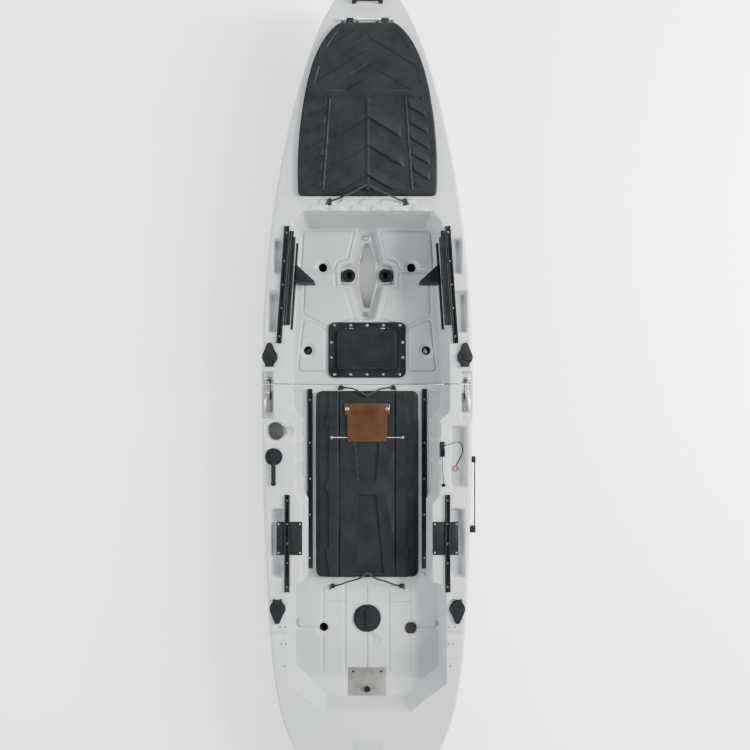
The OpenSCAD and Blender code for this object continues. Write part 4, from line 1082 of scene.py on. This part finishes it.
for end in ("front", "rear"):
    for name in ("left", "right"):
        node = "rod_cap_%s_%s" % (end, name)
        lo, hi = node_box(node)
        middle = (lo + hi) / 2
        ribs = Shape()
        turn = 1 if end == "front" else -1
        for k in (-1, 0, 1):
            y = middle.y - turn * 0.010 + 0.010 * k
            ribs.block((middle.x - 0.016, y - 0.0016, hi.z - 0.0006),
                       (middle.x + 0.016, y + 0.0016, hi.z + 0.0016), 0.0008)
        for x in (-0.020, 0.020):
            screw_head(ribs, (middle.x + x, middle.y - turn * 0.026, hi.z - 0.0004), 0.0034, 0.0018)
        ribs.piece(node + "_grip", BLACK, body=node, slot="black_plastic", bevel=0.0004)
grip = Shape()
handle_lo, handle_hi = node_box("steering_handle")
for k in range(4):
    y = handle_lo.y + 0.016 + 0.011 * k
    grip.block(((handle_lo.x + handle_hi.x) / 2 - 0.0075, y, handle_hi.z - 0.0012),
               ((handle_lo.x + handle_hi.x) / 2 + 0.0075, y + 0.0045, handle_hi.z + 0.0012), 0.0009)
grip.piece("steering_grip_ribs", SOFT_BLACK, body="steering_handle", slot="black_plastic", bevel=0.0004)


# ---------------------------------------------------------------- cords
def flowing(points, steps=6):
    """A smooth line through the points."""
    pts = [Vector(p) for p in points]
    pts = [2 * pts[0] - pts[1]] + pts + [2 * pts[-1] - pts[-2]]
    out = []
    for i in range(1, len(pts) - 2):
        a, b, c, d = pts[i - 1:i + 3]
        for k in range(steps):
            t = k / steps
            out.append(0.5 * (2 * b + (c - a) * t + (2 * a - 5 * b + 4 * c - d) * t * t
                              + (3 * b - a - 3 * c + d) * t ** 3))
    out.append(pts[-2])
    return out


def mirrored(half_route):
    return half_route + [(-x, u, z) for x, u, z in reversed(half_route[:-1])]


def knot(shape, at, r):
    """A tied stopper: three crossed wraps."""
    for turn in (0.0, 1.05, 2.1):
        loop = []
        for k in range(17):
            a = 2 * math.pi * k / 16
            flat = Vector((math.cos(a) * r * 1.25, math.sin(a) * r * 0.85, math.sin(a + turn) * r * 0.75))
            loop.append(Vector(at) + Vector((flat.x * math.cos(turn) - flat.y * math.sin(turn),
                                             flat.x * math.sin(turn) + flat.y * math.cos(turn), flat.z)))
        shape.sweep(loop, r * 0.62, 10, ends=False)


BUNGEE_R = 0.004
routes = {
    "bow_bungee": [(-0.150, 0.744, 0.354), (-0.122, 0.748, 0.366), (-0.094, 0.755, 0.383),
                   (-0.056, 0.772, 0.384), (-0.022, 0.790, 0.384), (0, 0.798, 0.384)],
    "centre_front_bungee": [(-0.107, -0.014, 0.212), (-0.084, -0.016, 0.228), (-0.058, -0.020, 0.245),
                            (-0.024, -0.036, 0.246), (0, -0.048, 0.246)],
    "centre_rear_bungee": [(-0.143, -0.862, 0.212), (-0.116, -0.852, 0.230), (-0.084, -0.836, 0.246),
                           (-0.032, -0.820, 0.246), (0, -0.798, 0.246)],
}
for name, route in routes.items():
    line = at_stations(flowing(mirrored(route)))
    strand = Shape().sweep(line, BUNGEE_R, 16)
    for end, inner in ((line[0], line[1]), (line[-1], line[-2])):
        out = (end - inner).normalized()
        knot(strand, end + out * 0.003 + Vector((0, 0, 0.001)), 0.0062)
        tail = [end + out * reach + Vector(drop) for reach, drop in
                ((0.006, (0, 0, 0)), (0.014, (0, -0.004, 0.003)), (0.021, (0, -0.011, 0.001)))]
        strand.sweep(tail, BUNGEE_R * 0.8, 12)
    strand.piece(name + "_braid", BUNGEE, replaces=[name], slot="cord", sharp=70)

side_cords = Shape()
cord_u = pc - 0.063
for side in (1, -1):
    droop = ((0.146, 0.2432), (0.130, 0.2426), (0.112, 0.2422), (0.098, 0.2428), (0.084, 0.2424))
    side_cords.sweep(at_stations([(side * x, cord_u, z) for x, z in droop]), 0.0015, 10)
    knot(side_cords, (side * 0.150, cord_u + SEAM, 0.2425), 0.0030)
side_cords.piece("lid_panel_side_cords", STRING, body="centre_lid", replaces=["lid_panel_cord"],
                 slot="cord", sharp=70)

LIFT_POINTS = [  # mm from the seam
    (312, -412, 341), (311, -392, 338), (308, -350, 337), (306, -310, 337), (306, -276, 337),
    (314, -256, 338), (332, -248, 338), (350, -244, 330), (366, -240, 310), (382, -242, 300),
    (393, -258, 299), (394, -280, 299), (386, -304, 299), (376, -324, 299), (368, -340, 299)]
lift_line = [Vector((x / 1000, u / 1000 + SEAM, z / 1000)) for x, u, z in flowing(LIFT_POINTS, 5)]
lift_cord = Shape().sweep(lift_line, 0.002, 12).piece("lift_cord_braid", CORD, replaces=["lift_cord"],
                                                      slot="cord", sharp=70)

# steering cables: laid wire inside the hull, from the handle's base to the rudder head
CABLE_R = 0.0025
steer_x, steer_u, rod_u = -0.383, -0.298, -TANK_START - 0.088
cable_x = -(HALF - 0.081 + 0.033)
cable_runs = [
    [(steer_x - 0.003, steer_u - 0.004, 0.300), (steer_x - 0.006, steer_u - 0.032, 0.284),
     (cable_x, rod_u + 0.118, 0.280), (cable_x, rod_u - 0.082, 0.280),
     (-0.374, 0.130 - TANK_END, 0.282), (-0.252, -TANK_END - 0.150, 0.300),
     (-0.070, 0.054 - STERN_LEN, 0.325), (-0.022, 0.034 - STERN_LEN, 0.335),
     (-0.022, 0.018 - STERN_LEN, 0.335)],
    [(steer_x + 0.005, steer_u - 0.004, 0.300), (steer_x + 0.001, steer_u - 0.032, 0.280),
     (cable_x, rod_u + 0.118, 0.271), (cable_x, rod_u - 0.082, 0.271),
     (-0.360, 0.130 - TANK_END, 0.280), (-0.234, -TANK_END - 0.130, 0.300),
     (-0.030, 0.070 - STERN_LEN, 0.325), (0.022, 0.036 - STERN_LEN, 0.335),
     (0.022, 0.018 - STERN_LEN, 0.335)]]
wires = Shape()
for run in cable_runs:
    fine = []
    for a, b in zip(run, run[1:]):
        a, b = Vector(a), Vector(b)
        count = max(2, int((b - a).length / 0.004))
        fine += [a.lerp(b, k / count) for k in range(count)]
    wires.sweep(at_stations(fine + [run[-1]]), CABLE_R, 8)
wires.piece("steering_cable_wires", CABLE, replaces=["steering_cables"], slot="stainless", sharp=70)

# string that tethers the round hatch lid to its ring
tether_points = [(0.010, -1.058, 0.2052), (0.022, -1.068, 0.2022), (0.034, -1.090, 0.2012),
                 (0.030, -1.108, 0.2012), (0.044, -1.122, 0.2012), (0.056, -1.108, 0.2012),
                 (0.050, -1.088, 0.2012), (0.038, -1.074, 0.2046), (0.030, -1.060, 0.2052),
                 (0.027, -1.053, 0.2052)]
tether_line = at_stations(flowing(tether_points, 5))
tether_piece = Shape().sweep(tether_line, 0.0008, 8).piece("round_hatch_tether", STRING,
                                                           slot="cord", sharp=70)


# ---------------------------------------------------------------- staging: light, camera, size
shown_box = [list(map(float, corner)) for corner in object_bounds()]


FLOOR_HALF = 30
floor_z = shown_box[0][2] - 0.001
floor_mesh = bpy.data.meshes.new("floor")
floor_corners = ((-1, -1), (1, -1), (1, 1), (-1, 1))
floor_mesh.from_pydata([(x * FLOOR_HALF, y * FLOOR_HALF, floor_z) for x, y in floor_corners],
                       [], [(0, 1, 2, 3)])
floor_mesh.materials.append(surface("floor_paint", ((0.955, 0.955, 0.955), (0.97, 0.97, 0.97)), (0.7, 0.85),
                                    grain=(300.0, 0.05, 0.0005)))
new_object("floor", floor_mesh)


def lamp(name, place, target, size, power, colour=(1, 1, 1)):
    data = bpy.data.lights.new(name, "AREA")
    data.shape = "RECTANGLE"
    data.size, data.size_y = size
    data.energy = power
    data.color = colour
    obj = new_object(name, data)
    obj.location = place
    obj.rotation_euler = (Vector(target) - Vector(place)).to_track_quat("-Z", "Y").to_euler()
    return obj


lamp("key", (4.6, 1.0, 3.2), (0, 0, 0.2), (1.6, 4.2), 1450, (1.0, 0.985, 0.96))
lamp("fill", (-4.8, 0.4, 3.4), (0, 0, 0.2), (2.0, 4.6), 470, (0.97, 0.985, 1.0))
lamp("front", (0.4, 5.6, 3.2), (0, 0.3, 0.2), (3.4, 1.6), 380)
lamp("rear", (-0.6, -5.4, 3.0), (0, -0.3, 0.2), (3.4, 1.6), 340)

world = bpy.data.worlds.new("studio")
world.use_nodes = True
backdrop = world.node_tree.nodes["Background"]
backdrop.inputs["Color"].default_value = (0.93, 0.95, 1.0, 1)
backdrop.inputs["Strength"].default_value = 0.16
bpy.context.scene.world = world

camera_data = bpy.data.cameras.new("camera")
camera_data.lens = 32.2
camera_data.sensor_width = 36
camera_data.clip_end = 60
camera_data.shift_x = 0.016
camera_data.shift_y = 0.020
camera = new_object("camera", camera_data)
camera.location = (-0.018, SEAM - 0.025, 3.08)
camera.rotation_euler = (0, 0, 0)
bpy.context.scene.camera = camera
